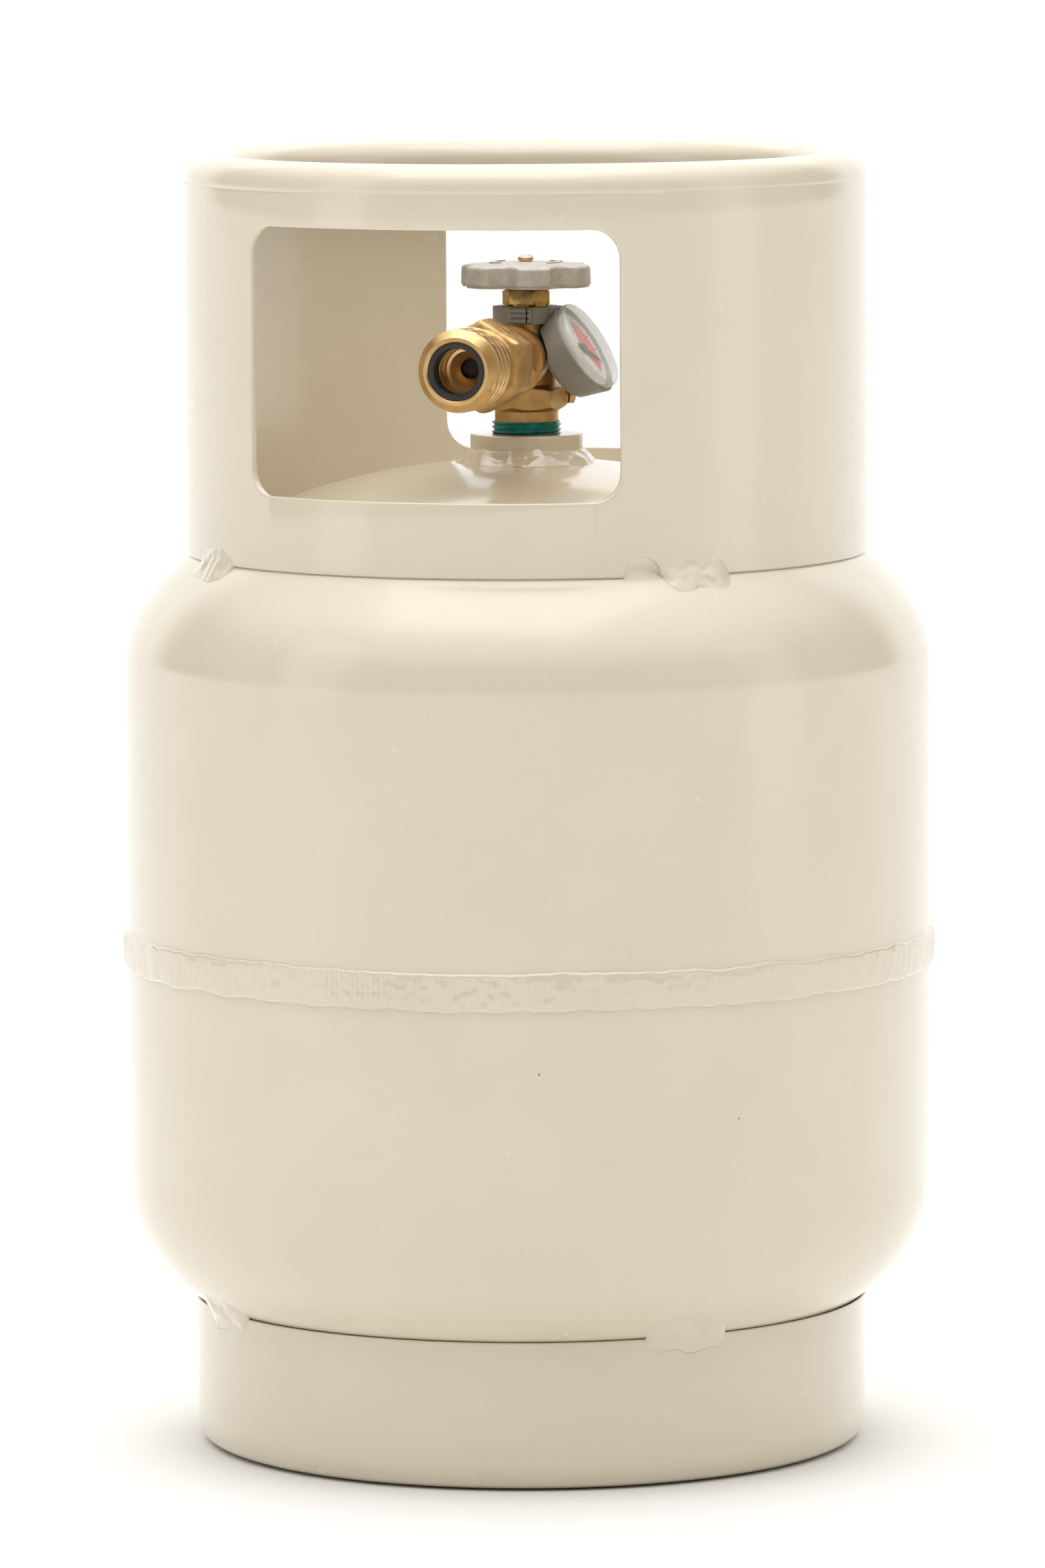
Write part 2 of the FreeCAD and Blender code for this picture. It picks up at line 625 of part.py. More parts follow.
def ring_levels():
    """Heights of the two O-rings on the upper spindle."""
    first = STEM_COLLAR_LOW + STEM_COLLAR + 2 * RING_WIRE
    return [first, first + 3 * RING_WIRE]


def stem_orings():
    middle = STEM_ROD_R - RING_WIRE * 1.2 + RING_WIRE * 0.6
    wire = RING_WIRE * 0.58
    return Part.makeCompound([Part.makeTorus(middle, wire, vector(0, 0, z)) for z in ring_levels()])


def lower_spindle():
    solid = cylinder(SPINDLE_R, SPINDLE_LOW + FREE / 3, SPINDLE_HIGH)
    return solid.cut(prism(4, SOCKET_FLATS + 0.2, SPINDLE_LOW + SOCKET_FLOOR, SPINDLE_HIGH + 1))


def seat_disc():
    return spin([(0, SEAT_Z + RUNNING), (DISC_R, SEAT_Z + RUNNING), (DISC_R, SPINDLE_LOW - 0.8),
                 (DISC_R - 0.8, SPINDLE_LOW), (0, SPINDLE_LOW)])


def lobed_face(z, inset=0.0):
    """Outline of the handwheel: wide lobes on its outer circle, with a round hollow between."""
    outer, valley = WHEEL_R - inset, WHEEL_VALLEY_R - inset
    half_lobe = 13.0
    shoulder = 21.0
    step = FULL_TURN / WHEEL_LOBES
    shoulder_r = (outer * 2 + valley) / 3
    edges = []
    for k in range(WHEEL_LOBES):
        middle = WHEEL_LOBE_BEARING + step * k
        a = bearing_point(shoulder_r, middle - shoulder, z)
        b = bearing_point(outer, middle - half_lobe, z)
        c = bearing_point(outer, middle + half_lobe, z)
        d = bearing_point(shoulder_r, middle + shoulder, z)
        e = bearing_point(shoulder_r, middle + step - shoulder, z)
        round_in = bearing_point(outer - 0.35, middle - (half_lobe + shoulder) / 2, z)
        round_out = bearing_point(outer - 0.35, middle + (half_lobe + shoulder) / 2, z)
        edges += [Part.Arc(a, round_in, b).toShape(),
                  Part.Arc(b, bearing_point(outer + 0.1, middle, z), c).toShape(),
                  Part.Arc(c, round_out, d).toShape(),
                  Part.Arc(d, bearing_point(valley, middle + step / 2, z), e).toShape()]
    return Part.Face(Part.Wire(edges))


def handwheel():
    height = WHEEL_HIGH - WHEEL_LOW
    blank = lobed_face(WHEEL_LOW).extrude(vector(0, 0, height))
    crown = 1.5
    edge_r = WHEEL_R + 2
    solid = blank.common(spin([(0, WHEEL_LOW - 1), (edge_r, WHEEL_LOW - 1), (edge_r, WHEEL_HIGH - crown),
                               dome(edge_r, WHEEL_HIGH - crown, WHEEL_HIGH)]))
    top_edges = [e for e in solid.Edges
                 if e.BoundBox.ZMin > WHEEL_HIGH - 2 * crown and e.CenterOfMass.z > WHEEL_LOW + height / 2]
    solid = solid.makeFillet(WHEEL_EDGE, top_edges)
    hollow = lobed_face(WHEEL_LOW - 1, WHEEL_SKIN).extrude(vector(0, 0, height - 2.5 * WHEEL_SKIN + 1))
    solid = solid.cut(hollow.cut(cylinder(WHEEL_HUB_R, WHEEL_LOW - 2, WHEEL_HIGH)))
    return solid.cut(cylinder(DRIVE_R + TIGHT, WHEEL_LOW - 1, WHEEL_HIGH + 1))


def driver_slot(radius, width, low):
    """The cut that leaves a screwdriver slot across a head, from its floor up."""
    return Part.makeBox(4 * radius, width, radius, vector(-2 * radius, -width / 2, low))


def handwheel_screw():
    head_low = STEM_ROD_TOP + TIGHT
    head_r = SCREW_HEAD_R
    solid = spin([(0, head_low - SCREW_LENGTH + 1), (SCREW_R, head_low - SCREW_LENGTH + 1),
                  (SCREW_R, head_low), (head_r, head_low), (head_r, head_low + SCREW_HEAD / 2),
                  dome(head_r, head_low + SCREW_HEAD / 2, head_low + SCREW_HEAD)])
    return solid.cut(driver_slot(head_r, 0.9, head_low + SCREW_HEAD * 0.6))


# ---------------------------------------------------------------- outlet

def outlet_outside():
    """Outside of the connector, along its own axis from the valve's axis."""
    face, root = OUTLET_FACE, ACME_R - ACME_DEPTH
    thread_back = face - ACME_LEAD - ACME_TURNS * ACME_PITCH - ACME_PITCH / 2
    points = [(0, OUTLET_SEATING - OUTLET_TAIL), (OUTLET_TAIL_R, OUTLET_SEATING - OUTLET_TAIL),
              (OUTLET_TAIL_R, OUTLET_SEATING), (OUTLET_DISC_R, OUTLET_SEATING),
              (OUTLET_DISC_R, OUTLET_SEATING + OUTLET_DISC),
              (OUTLET_SHANK_R, OUTLET_SEATING + OUTLET_DISC + 1),
              (OUTLET_SHANK_R, OUTLET_HEX_BACK), (OUTLET_NECK_R, OUTLET_HEX_BACK + 2),
              (OUTLET_NECK_R, thread_back), (ACME_R - 0.4, thread_back + 0.8)]
    crest, flank = ACME_PITCH * 0.42, ACME_PITCH * 0.1
    z = thread_back + 0.8
    for _ in range(ACME_TURNS):
        z += crest
        points.append((ACME_R, z))
        points.append((root, z + flank))
        z += ACME_PITCH - crest - flank
        points.append((root, z))
        z += flank
        points.append((ACME_R, z))
    points += [(ACME_R, face - ACME_CHAMFER), (ACME_R - ACME_CHAMFER, face), (0, face)]
    return spin(points)


def outlet_connector():
    hexagon = prism(6, OUTLET_HEX_FLATS, OUTLET_HEX_BACK, OUTLET_HEX_FRONT)
    reach = OUTLET_HEX_FLATS / math.sqrt(3)
    bevel = 3.0
    turned = spin([(0, OUTLET_HEX_BACK), (OUTLET_SHANK_R + 1, OUTLET_HEX_BACK),
                   (reach, OUTLET_HEX_BACK + 2 * bevel), (reach, OUTLET_HEX_FRONT - bevel / 2),
                   (reach - bevel, OUTLET_HEX_FRONT), (0, OUTLET_HEX_FRONT)])
    solid = outlet_outside().fuse(hexagon.common(turned))
    seal_depth = SEAL_LENGTH + SEAL_SET_BACK
    bore = spin([(0, OUTLET_SEATING - OUTLET_TAIL - 1), (PORT_R, OUTLET_SEATING - OUTLET_TAIL - 1),
                 (PORT_R, GUIDE_AT), (CHECK_BORE_R, GUIDE_AT), (CHECK_BORE_R, CHECK_BACK),
                 (CHECK_SEAT_R, CHECK_BACK), (CHECK_SEAT_R, TIP),
                 (MOUTH_R - 1.5, TIP + 3), (MOUTH_R, TIP + 3),
                 (MOUTH_R, OUTLET_FACE - seal_depth), (SEAL_R + TIGHT, OUTLET_FACE - seal_depth),
                 (SEAL_R + TIGHT, OUTLET_FACE + 1), (0, OUTLET_FACE + 1)])
    return outward(solid.cut(bore), 0, OUTLET_Z)


def outlet_seal():
    front = OUTLET_FACE - SEAL_SET_BACK
    lip = 0.5
    ring = spin([(SEAL_BORE_R, front - SEAL_LENGTH + TIGHT), (SEAL_R, front - SEAL_LENGTH + TIGHT),
                 (SEAL_R, front - lip), (SEAL_R - lip, front), (SEAL_BORE_R + lip, front),
                 (SEAL_BORE_R, front - lip)])
    return outward(ring, 0, OUTLET_Z)


def outlet_poppet():
    back = CHECK_BACK - CHECK_HEAD - FREE
    stem_end = GUIDE_AT - 1.0 + CHECK_TRAVEL
    nose = TIP - 0.5
    solid = spin([(0, stem_end), (CHECK_STEM_R, stem_end), (CHECK_STEM_R, back), (CHECK_HEAD_R, back),
                  (CHECK_HEAD_R, CHECK_BACK - FREE), (CHECK_SEAT_R - FREE, CHECK_BACK - FREE),
                  (CHECK_SEAT_R - FREE, nose - 1), dome(CHECK_SEAT_R - FREE, nose - 1, nose)])
    return outward(solid, 0, OUTLET_Z)


def outlet_guide():
    solid = tube(CHECK_BORE_R - TIGHT, CHECK_STEM_R + 0.1, GUIDE_AT + TIGHT, GUIDE_AT + GUIDE_THICK)
    for k in range(3):
        hole = bearing_point(4.0, FULL_TURN / 3 * k)
        solid = solid.cut(cylinder(1.4, GUIDE_AT - 1, GUIDE_AT + GUIDE_THICK + 1, hole.x, hole.y))
    return outward(solid, 0, OUTLET_Z)


def coil(radius, wire, low, high, turns):
    """A compression spring about +Z between two levels."""
    pitch = (high - low - 2 * wire) / turns
    path = Part.makeHelix(pitch, pitch * turns, radius)
    path.translate(vector(0, 0, low + wire))
    section = Part.Wire(Part.makeCircle(wire, vector(radius, 0, low + wire), vector(0, 1, 0)))
    return Part.Wire(path.Edges).makePipeShell([section], True, True)


def outlet_spring():
    low, high = GUIDE_AT + GUIDE_THICK + 0.05, CHECK_BACK - CHECK_HEAD - FREE - 0.05
    return outward(coil(CHECK_HEAD_R - 2 * SPRING_WIRE, SPRING_WIRE, low, high, SPRING_TURNS), 0, OUTLET_Z)


# ---------------------------------------------------------------- relief valve, bleed screw, dip tube

def relief_poppet():
    low = RELIEF_SEAT + RELIEF_SEAL + TIGHT
    radius = RELIEF_BORE_R - FREE
    solid = spin([(0, low), (radius, low), (radius, low + 1.5), (2.4, low + 1.5), (2.4, low + RELIEF_POPPET),
                  (0, low + RELIEF_POPPET)])
    return outward(solid, 180, RELIEF_Z)


def relief_seal():
    seal = cylinder(RELIEF_BORE_R - 1.2, RELIEF_SEAT + TIGHT, RELIEF_SEAT + RELIEF_SEAL)
    return outward(seal, 180, RELIEF_Z)


def relief_spring():
    low = RELIEF_SEAT + RELIEF_SEAL + 1.5 + 0.07
    high = RELIEF_REACH - RELIEF_CAP - 0.05
    return outward(coil(RELIEF_BORE_R - 1.7, 0.7, low, high, 4), 180, RELIEF_Z)


def relief_plug():
    """The vented screw that loads the relief spring."""
    low, high = RELIEF_REACH - RELIEF_CAP, RELIEF_REACH - 0.6
    solid = tube(RELIEF_BORE_R - TIGHT, RELIEF_VENT_R, low, high)
    return outward(solid.cut(driver_slot(RELIEF_BORE_R, 1.2, high - 0.9)), 180, RELIEF_Z)


def bleed_screw():
    head_low = BLEED_REACH + GASKET + RUNNING
    solid = spin([(0, BLEED_SEAT + FREE), (BLEED_BORE_R, BLEED_SEAT + 1.8), (BLEED_BORE_R, head_low),
                  (BLEED_HEAD_R, head_low), (BLEED_HEAD_R, head_low + BLEED_HEAD - 0.5),
                  (BLEED_HEAD_R - 0.5, head_low + BLEED_HEAD), (0, head_low + BLEED_HEAD)])
    slot = driver_slot(BLEED_HEAD_R, 0.9, head_low + BLEED_HEAD / 2)
    return outward(solid.cut(slot), BLEED_BEARING, RELIEF_Z)


def bleed_gasket():
    ring = tube(BLEED_HEAD_R, BLEED_BORE_R + 0.1, BLEED_REACH + TIGHT, BLEED_REACH + GASKET)
    return outward(ring, BLEED_BEARING, RELIEF_Z)


def dip_tube():
    centre = bearing_point(DIP_RADIUS, BLEED_BEARING)
    return tube(DIP_TUBE_R, DIP_TUBE_BORE, DIP_TOP - DIP_TUBE_LENGTH, DIP_TOP - TIGHT, centre.x, centre.y)


# ---------------------------------------------------------------- overfill stop, float and gauge drive

def float_ear(y_low, y_high):
    """One ear of the overfill stop's clevis, with its pin hole."""
    ear = across(EAR_R, y_low, y_high, PIVOT_X, PIVOT_Z)
    plate = Part.makeBox(2 * EAR_R, y_high - y_low, OPD_LOW - PIVOT_Z + 0.5,
                         vector(PIVOT_X - EAR_R, y_low, PIVOT_Z))
    return ear.fuse(plate)


def clevis():
    """Inner faces of the two ears: in front of the drive wheel, and behind the arm."""
    pinion_edge = bearing_point(SHAFT_RADIUS, SHAFT_BEARING).y - PINION_R
    front = min(WHEEL_PLANE - DRIVE_WHEEL / 2, pinion_edge) - FREE
    back = ARM_PLANE + ARM_WIDTH / 2 + FREE
    return front, back


def opd_housing():
    foot = PIPE_TOP - PIPE_LENGTH
    front, back = clevis()
    top = foot + OPD_SPIGOT
    solid = cylinder(OPD_R, OPD_LOW, foot - TIGHT)
    solid = solid.fuse(cylinder(OPD_SPIGOT_R, foot - 1, top - TIGHT))
    solid = solid.fuse(float_ear(front - EAR_THICK, front)).fuse(float_ear(back, back + EAR_THICK))
    solid = solid.common(cylinder(OPD_R, PIVOT_Z - 2 * EAR_R, top + 1))
    piston_top = PISTON_LOW + PISTON_LENGTH + PISTON_TRAVEL + 1
    cuts = [cylinder(PISTON_R + RUNNING, PISTON_LOW - 1, piston_top),
            cylinder(GAS_R - 1, OPD_LOW - 1, top + 1),
            hole_at(BLEED_BEARING, DIP_RADIUS, DIP_TUBE_R + 0.1, PIVOT_Z - 2 * EAR_R, top + 1),
            hole_at(SHAFT_BEARING, SHAFT_RADIUS, SHAFT_R + RUNNING, OPD_LOW - 1, top + 1),
            across(PIVOT_R + TIGHT, -2 * OPD_R, 2 * OPD_R, PIVOT_X, PIVOT_Z),
            Part.makeBox(4 * OPD_R, OPD_SLOT - 2, OPD_SLOT / 2,
                         vector(-2 * OPD_R - PISTON_R, -OPD_SLOT / 2 + 1, piston_top - OPD_SLOT / 2))]
    for cut in cuts:
        solid = solid.cut(cut)
    return solid


def opd_piston():
    stem_r = 1.4
    solid = cylinder(PISTON_R, PISTON_LOW, PISTON_LOW + PISTON_LENGTH)
    return solid.fuse(cylinder(stem_r, OPD_LOW - 1.0, PISTON_LOW + 1))


def float_pin():
    front, back = clevis()
    return across(PIVOT_R, front - EAR_THICK, back + EAR_THICK, PIVOT_X, PIVOT_Z)


def arm_direction():
    angle = math.radians(ARM_ANGLE)
    return vector(-math.sin(angle), 0, -math.cos(angle))


def float_arm():
    pivot = vector(PIVOT_X, 0, PIVOT_Z)
    half = DRIVE_WHEEL / 2
    wheel = across(DRIVE_WHEEL_R, WHEEL_PLANE - half, WHEEL_PLANE + half, PIVOT_X, PIVOT_Z)
    hub = across(ARM_HUB_R, WHEEL_PLANE, ARM_PLANE + ARM_WIDTH / 2, PIVOT_X, PIVOT_Z)
    base = pivot + vector(0, ARM_PLANE, 0) + arm_direction() * PIVOT_R * 2
    rod = Part.makeCylinder(ARM_R, FLOAT_START + FLOAT_LENGTH / 2 - PIVOT_R * 2, base, arm_direction())
    solid = wheel.fuse(hub).fuse(rod)
    return solid.cut(across(PIVOT_R + RUNNING, -2 * OPD_R, 2 * OPD_R, PIVOT_X, PIVOT_Z))


def float_body():
    """The closed-cell float on the end of its arm."""
    start = vector(PIVOT_X, ARM_PLANE, PIVOT_Z) + arm_direction() * FLOAT_START
    edge = 2.0
    solid = spin([(ARM_R + TIGHT, 0), (FLOAT_R - edge, 0), (FLOAT_R, edge), (FLOAT_R, FLOAT_LENGTH - edge),
                  (FLOAT_R - edge, FLOAT_LENGTH), (0, FLOAT_LENGTH), (0, FLOAT_LENGTH / 2 + TIGHT),
                  (ARM_R + TIGHT, FLOAT_LENGTH / 2 + TIGHT)])
    return aimed(solid, start, arm_direction())


def gauge_shaft():
    centre = bearing_point(SHAFT_RADIUS, SHAFT_BEARING)
    pinion_low = PIVOT_Z + DRIVE_WHEEL_R + FREE
    shaft = cylinder(SHAFT_R, pinion_low, SHAFT_TOP, centre.x, centre.y)
    return shaft.fuse(cylinder(PINION_R, pinion_low, pinion_low + PINION, centre.x, centre.y))


def drive_magnet():
    centre = bearing_point(SHAFT_RADIUS, SHAFT_BEARING)
    return cylinder(MAGNET_R, SHAFT_TOP + TIGHT, SHAFT_TOP + MAGNET, centre.x, centre.y)


# ---------------------------------------------------------------- level gauge

def gauge_axis():
    tilt = math.radians(GAUGE_TILT)
    return vector(math.cos(tilt), 0, math.sin(tilt))


def on_gauge(shape):
    """Moves a shape built about +Z, with its zero at the gauge's back and +X upwards, into place."""
    axis = gauge_axis()
    across = vector(0, 1, 0)
    top = across.cross(axis)
    if top.z < 0:
        top = axis.cross(across)
    side = axis.cross(top)
    matrix = FreeCAD.Matrix(top.x, side.x, axis.x, GAUGE_REAR[0], top.y, side.y, axis.y, GAUGE_REAR[1],
                            top.z, side.z, axis.z, GAUGE_REAR[2], 0, 0, 0, 1)
    return shape.transformed(matrix)


def barrel_clearance():
    """The room that the gauge leaves for the valve body beside it."""
    gap = FREE
    low = BLOCK_LOW - 10
    return spin([(0, low), (BARREL_R + gap, low), (BARREL_R + gap, BARREL_TAPER_Z),
                 (BARREL_TOP_R + gap, BARREL_TAPER_Z + BARREL_TAPER), (BARREL_TOP_R + gap, BARREL_TOP + 5),
                 (0, BARREL_TOP + 5)])


def gauge_housing():
    inner = GAUGE_RIM_R - GAUGE_WALL
    cup = spin([(0, 0), (GAUGE_REAR_R - 1.5, 0), (GAUGE_REAR_R, 1.5), (GAUGE_RIM_R, GAUGE_DEPTH),
                (LENS_R + TIGHT, GAUGE_DEPTH), (LENS_R + TIGHT, GAUGE_DEPTH - GAUGE_LIP),
                (inner - 1.2, GAUGE_DEPTH - GAUGE_LIP), (DIAL_R + 0.1, DIAL_AT), (DIAL_R - 1, DIAL_AT),
                (DIAL_R - 1, GAUGE_FLOOR), (0, GAUGE_FLOOR)])
    cup = on_gauge(cup).cut(barrel_clearance())
    outlet_gap = outward(cylinder(OUTLET_DISC_R + FREE, 0, OUTLET_HEX_BACK), 0, OUTLET_Z)
    return cup.cut(outlet_gap)


def gauge_dial():
    skirt_r, under = DIAL_R - DIAL_THICK, DIAL_FACE - DIAL_THICK
    return on_gauge(spin([(ARBOR_R + 0.3, under), (skirt_r, under), (skirt_r, DIAL_AT + TIGHT),
                          (DIAL_R, DIAL_AT + TIGHT), (DIAL_R, DIAL_FACE), (ARBOR_R + 0.3, DIAL_FACE)]))


def gauge_lens():
    round_r, wall = 1.6, LENS_WALL
    low, top = GAUGE_DEPTH - GAUGE_LIP + TIGHT, GAUGE_DEPTH + LENS_RISE
    edge, crown_r, inside_r = top - round_r, LENS_R - round_r, LENS_R - wall - 1
    slant = math.sqrt(0.5) * round_r
    return on_gauge(spin([(LENS_R, low), (LENS_R, edge), (crown_r, top, crown_r + slant, edge + slant),
                          dome(crown_r, top, top + LENS_DOME), (0, top + LENS_DOME - wall),
                          dome_from_top(inside_r, top - wall, top + LENS_DOME - wall),
                          (LENS_R - wall, edge - wall), (LENS_R - wall, low)]))


def gauge_needle():
    low = DIAL_FACE + NEEDLE_GAP
    hub_r = 2.0
    points = [vector(-4, -NEEDLE_WIDTH / 2, low), vector(-4, NEEDLE_WIDTH / 2, low),
              vector(NEEDLE_LENGTH - 3, NEEDLE_WIDTH / 2, low), vector(NEEDLE_LENGTH, 0, low),
              vector(NEEDLE_LENGTH - 3, -NEEDLE_WIDTH / 2, low), vector(-4, -NEEDLE_WIDTH / 2, low)]
    blade = Part.Face(Part.makePolygon(points)).extrude(vector(0, 0, NEEDLE_THICK))
    solid = blade.fuse(cylinder(hub_r, low, low + 2 * NEEDLE_THICK))
    solid = solid.cut(cylinder(ARBOR_R + TIGHT, low - 1, low + 2))
    return on_gauge(solid.rotated(ORIGIN, UP, NEEDLE_REST))


def gauge_arbor():
    low = GAUGE_FLOOR + RUNNING * 2
    top = DIAL_FACE + NEEDLE_GAP + 2 * NEEDLE_THICK
    magnet = cylinder(NEEDLE_MAGNET_R, low + 0.3, low + 0.3 + NEEDLE_MAGNET)
    return on_gauge(cylinder(ARBOR_R, low, top).fuse(magnet))


def gauge_clamp():
    low, high = CLAMP_LOW, CLAMP_LOW + CLAMP_HEIGHT
    inner = BARREL_TOP_R + TIGHT
    ring = cylinder(CLAMP_R, low, high)
    arm = Part.makeBox(CLAMP_ARM_END, CLAMP_ARM_WIDTH, CLAMP_HEIGHT, vector(0, -CLAMP_ARM_WIDTH / 2, low))
    latch = Part.makeBox(LATCH_WIDTH, LATCH_DEPTH + 2, CLAMP_HEIGHT - 1.0,
                         vector(-LATCH_WIDTH / 2, -CLAMP_R - LATCH_DEPTH * 0.5, low + 0.5))
    latch = latch.rotated(ORIGIN, UP, CLAMP_BEARING)
    solid = ring.fuse(arm).fuse(latch).cut(cylinder(inner, low - 1, high + 1))
    split = Part.makeBox(0.5, 2 * CLAMP_R, CLAMP_HEIGHT + 2, vector(LATCH_WIDTH / 4, -2 * CLAMP_R, low - 1))
    solid = solid.cut(split.rotated(ORIGIN, UP, CLAMP_BEARING))
    for share in (0.3, 0.62):
        groove = Part.makeBox(LATCH_WIDTH * 0.8, LATCH_DEPTH, 0.7,
                              vector(-LATCH_WIDTH * 0.4, -CLAMP_R - LATCH_DEPTH, low + CLAMP_HEIGHT * share))
        solid = solid.cut(groove.rotated(ORIGIN, UP, CLAMP_BEARING))
    return solid.cut(housing_envelope())


def housing_envelope():
    """Outside of the gauge's housing, which the clamp's arm ends against."""
    return on_gauge(spin([(0, 0), (GAUGE_REAR_R - 1.5, 0), (GAUGE_REAR_R + TIGHT, 1.5),
                          (GAUGE_RIM_R + TIGHT, GAUGE_DEPTH), (GAUGE_RIM_R, GAUGE_DEPTH + 2 * LENS_RISE),
                          (0, GAUGE_DEPTH + 2 * LENS_RISE)]))


VESSEL_NODES = {
    "upper_shell": upper_shell, "lower_shell": lower_shell, "girth_weld": girth_weld,
    "neck_flange": neck_flange, "neck_weld": neck_weld, "collar": collar, "collar_welds": collar_welds,
    "foot_ring": foot_ring, "foot_ring_welds": foot_ring_welds,
}
VALVE_NODES = {
    "valve_body": valve_body, "thread_sealant": thread_sealant, "bonnet_nut": bonnet_nut,
    "upper_spindle": upper_spindle, "stem_orings": stem_orings, "lower_spindle": lower_spindle,
    "seat_disc": seat_disc, "handwheel": handwheel, "handwheel_screw": handwheel_screw,
    "outlet_connector": outlet_connector, "outlet_seal": outlet_seal, "outlet_poppet": outlet_poppet,
    "outlet_guide": outlet_guide, "outlet_spring": outlet_spring, "relief_poppet": relief_poppet,
    "relief_seal": relief_seal, "relief_spring": relief_spring, "relief_plug": relief_plug,
    "bleed_screw": bleed_screw, "bleed_gasket": bleed_gasket, "dip_tube": dip_tube,
    "opd_housing": opd_housing, "opd_piston": opd_piston, "float_pin": float_pin,
    "float_arm": float_arm, "float": float_body, "gauge_shaft": gauge_shaft,
    "drive_magnet": drive_magnet, "gauge_clamp": gauge_clamp, "gauge_housing": gauge_housing,
    "gauge_dial": gauge_dial, "gauge_lens": gauge_lens, "gauge_needle": gauge_needle,
    "gauge_arbor": gauge_arbor,
}

os.makedirs("parts", exist_ok=True)
for node, build in VESSEL_NODES.items():
    save(node, build())
for node, build in VALVE_NODES.items():
    save(node, build().translated(vector(0, 0, NECK_TOP)))
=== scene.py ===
"""A propane tank with its valve, in cream paint and brass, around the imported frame. Metres."""
import bpy
import bmesh
import json
import math
from mathutils import Matrix, Vector, noise


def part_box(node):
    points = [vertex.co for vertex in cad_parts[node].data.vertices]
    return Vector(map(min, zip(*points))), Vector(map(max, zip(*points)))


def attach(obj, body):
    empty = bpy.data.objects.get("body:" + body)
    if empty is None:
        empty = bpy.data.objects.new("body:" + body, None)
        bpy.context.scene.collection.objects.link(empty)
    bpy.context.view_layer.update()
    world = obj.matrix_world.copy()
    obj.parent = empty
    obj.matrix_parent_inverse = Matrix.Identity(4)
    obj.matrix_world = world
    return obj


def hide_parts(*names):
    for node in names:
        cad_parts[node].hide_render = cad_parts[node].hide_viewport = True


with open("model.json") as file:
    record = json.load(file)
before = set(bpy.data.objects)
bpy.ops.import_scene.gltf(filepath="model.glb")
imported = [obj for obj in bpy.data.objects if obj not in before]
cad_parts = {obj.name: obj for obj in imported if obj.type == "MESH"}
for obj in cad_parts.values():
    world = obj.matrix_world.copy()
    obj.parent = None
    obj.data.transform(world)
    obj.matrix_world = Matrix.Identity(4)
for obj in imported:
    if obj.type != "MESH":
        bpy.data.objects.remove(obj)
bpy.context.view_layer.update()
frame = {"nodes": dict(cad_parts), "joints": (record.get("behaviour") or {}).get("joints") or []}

NODES = frame["nodes"]
MM = 0.001
TAU = 2 * math.pi

# Viewpoint
VIEW_BEARING = math.radians(18.3)    # from the outlet's direction, towards the gauge's side
VIEW_DISTANCE = 3.654
VIEW_SIDE = -0.00228
VIEW_HEIGHT = 0.651
VIEW_PITCH = math.radians(6.239)
VIEW_ROLL = math.radians(0.295)
LENS = 220.3


# ------------------------------------------------------------------ camera, floor and light

def bearing(angle, radius=1.0, z=0.0):
    """A point on a bearing: 0 is the outlet's side, and a quarter turn is the gauge's side."""
    return Vector((radius * math.sin(angle), -radius * math.cos(angle), z))


def make_camera():
    right = Vector((math.cos(VIEW_BEARING), math.sin(VIEW_BEARING), 0))
    level = Vector((-math.sin(VIEW_BEARING), math.cos(VIEW_BEARING), 0))
    ahead = level * math.cos(VIEW_PITCH) - Vector((0, 0, math.sin(VIEW_PITCH)))
    up = right.cross(ahead)
    c, s = math.cos(VIEW_ROLL), math.sin(VIEW_ROLL)
    x_axis, y_axis = right * c - up * s, right * s + up * c
    place = right * VIEW_SIDE - level * VIEW_DISTANCE + Vector((0, 0, VIEW_HEIGHT))
    turn = Matrix((x_axis, y_axis, -ahead)).transposed().to_4x4()
    data = bpy.data.cameras.new("camera")
    data.sensor_fit = "AUTO"
    data.sensor_width = 36
    data.lens = LENS
    data.clip_end = 200
    camera = bpy.data.objects.new("camera", data)
    camera.matrix_world = Matrix.Translation(place) @ turn
    bpy.context.scene.collection.objects.link(camera)
    bpy.context.scene.camera = camera


def make_display():
    """Plain display colours, as a catalogue picture has."""
    settings = bpy.context.scene.view_settings
    settings.view_transform = "Standard"
    settings.look = "None"


def make_floor():
    mesh = bpy.data.meshes.new("floor")
    sheet = bmesh.new()
    bmesh.ops.create_circle(sheet, cap_ends=True, segments=96, radius=60)
    sheet.to_mesh(mesh)
    sheet.free()
    floor = bpy.data.objects.new("floor", mesh)
    floor.location.z = -0.0003
    bpy.context.scene.collection.objects.link(floor)
    material = new_material("floor_white", (0.94, 0.935, 0.925), roughness=0.7, specular_ior_level=0.2)
    floor.data.materials.append(material)


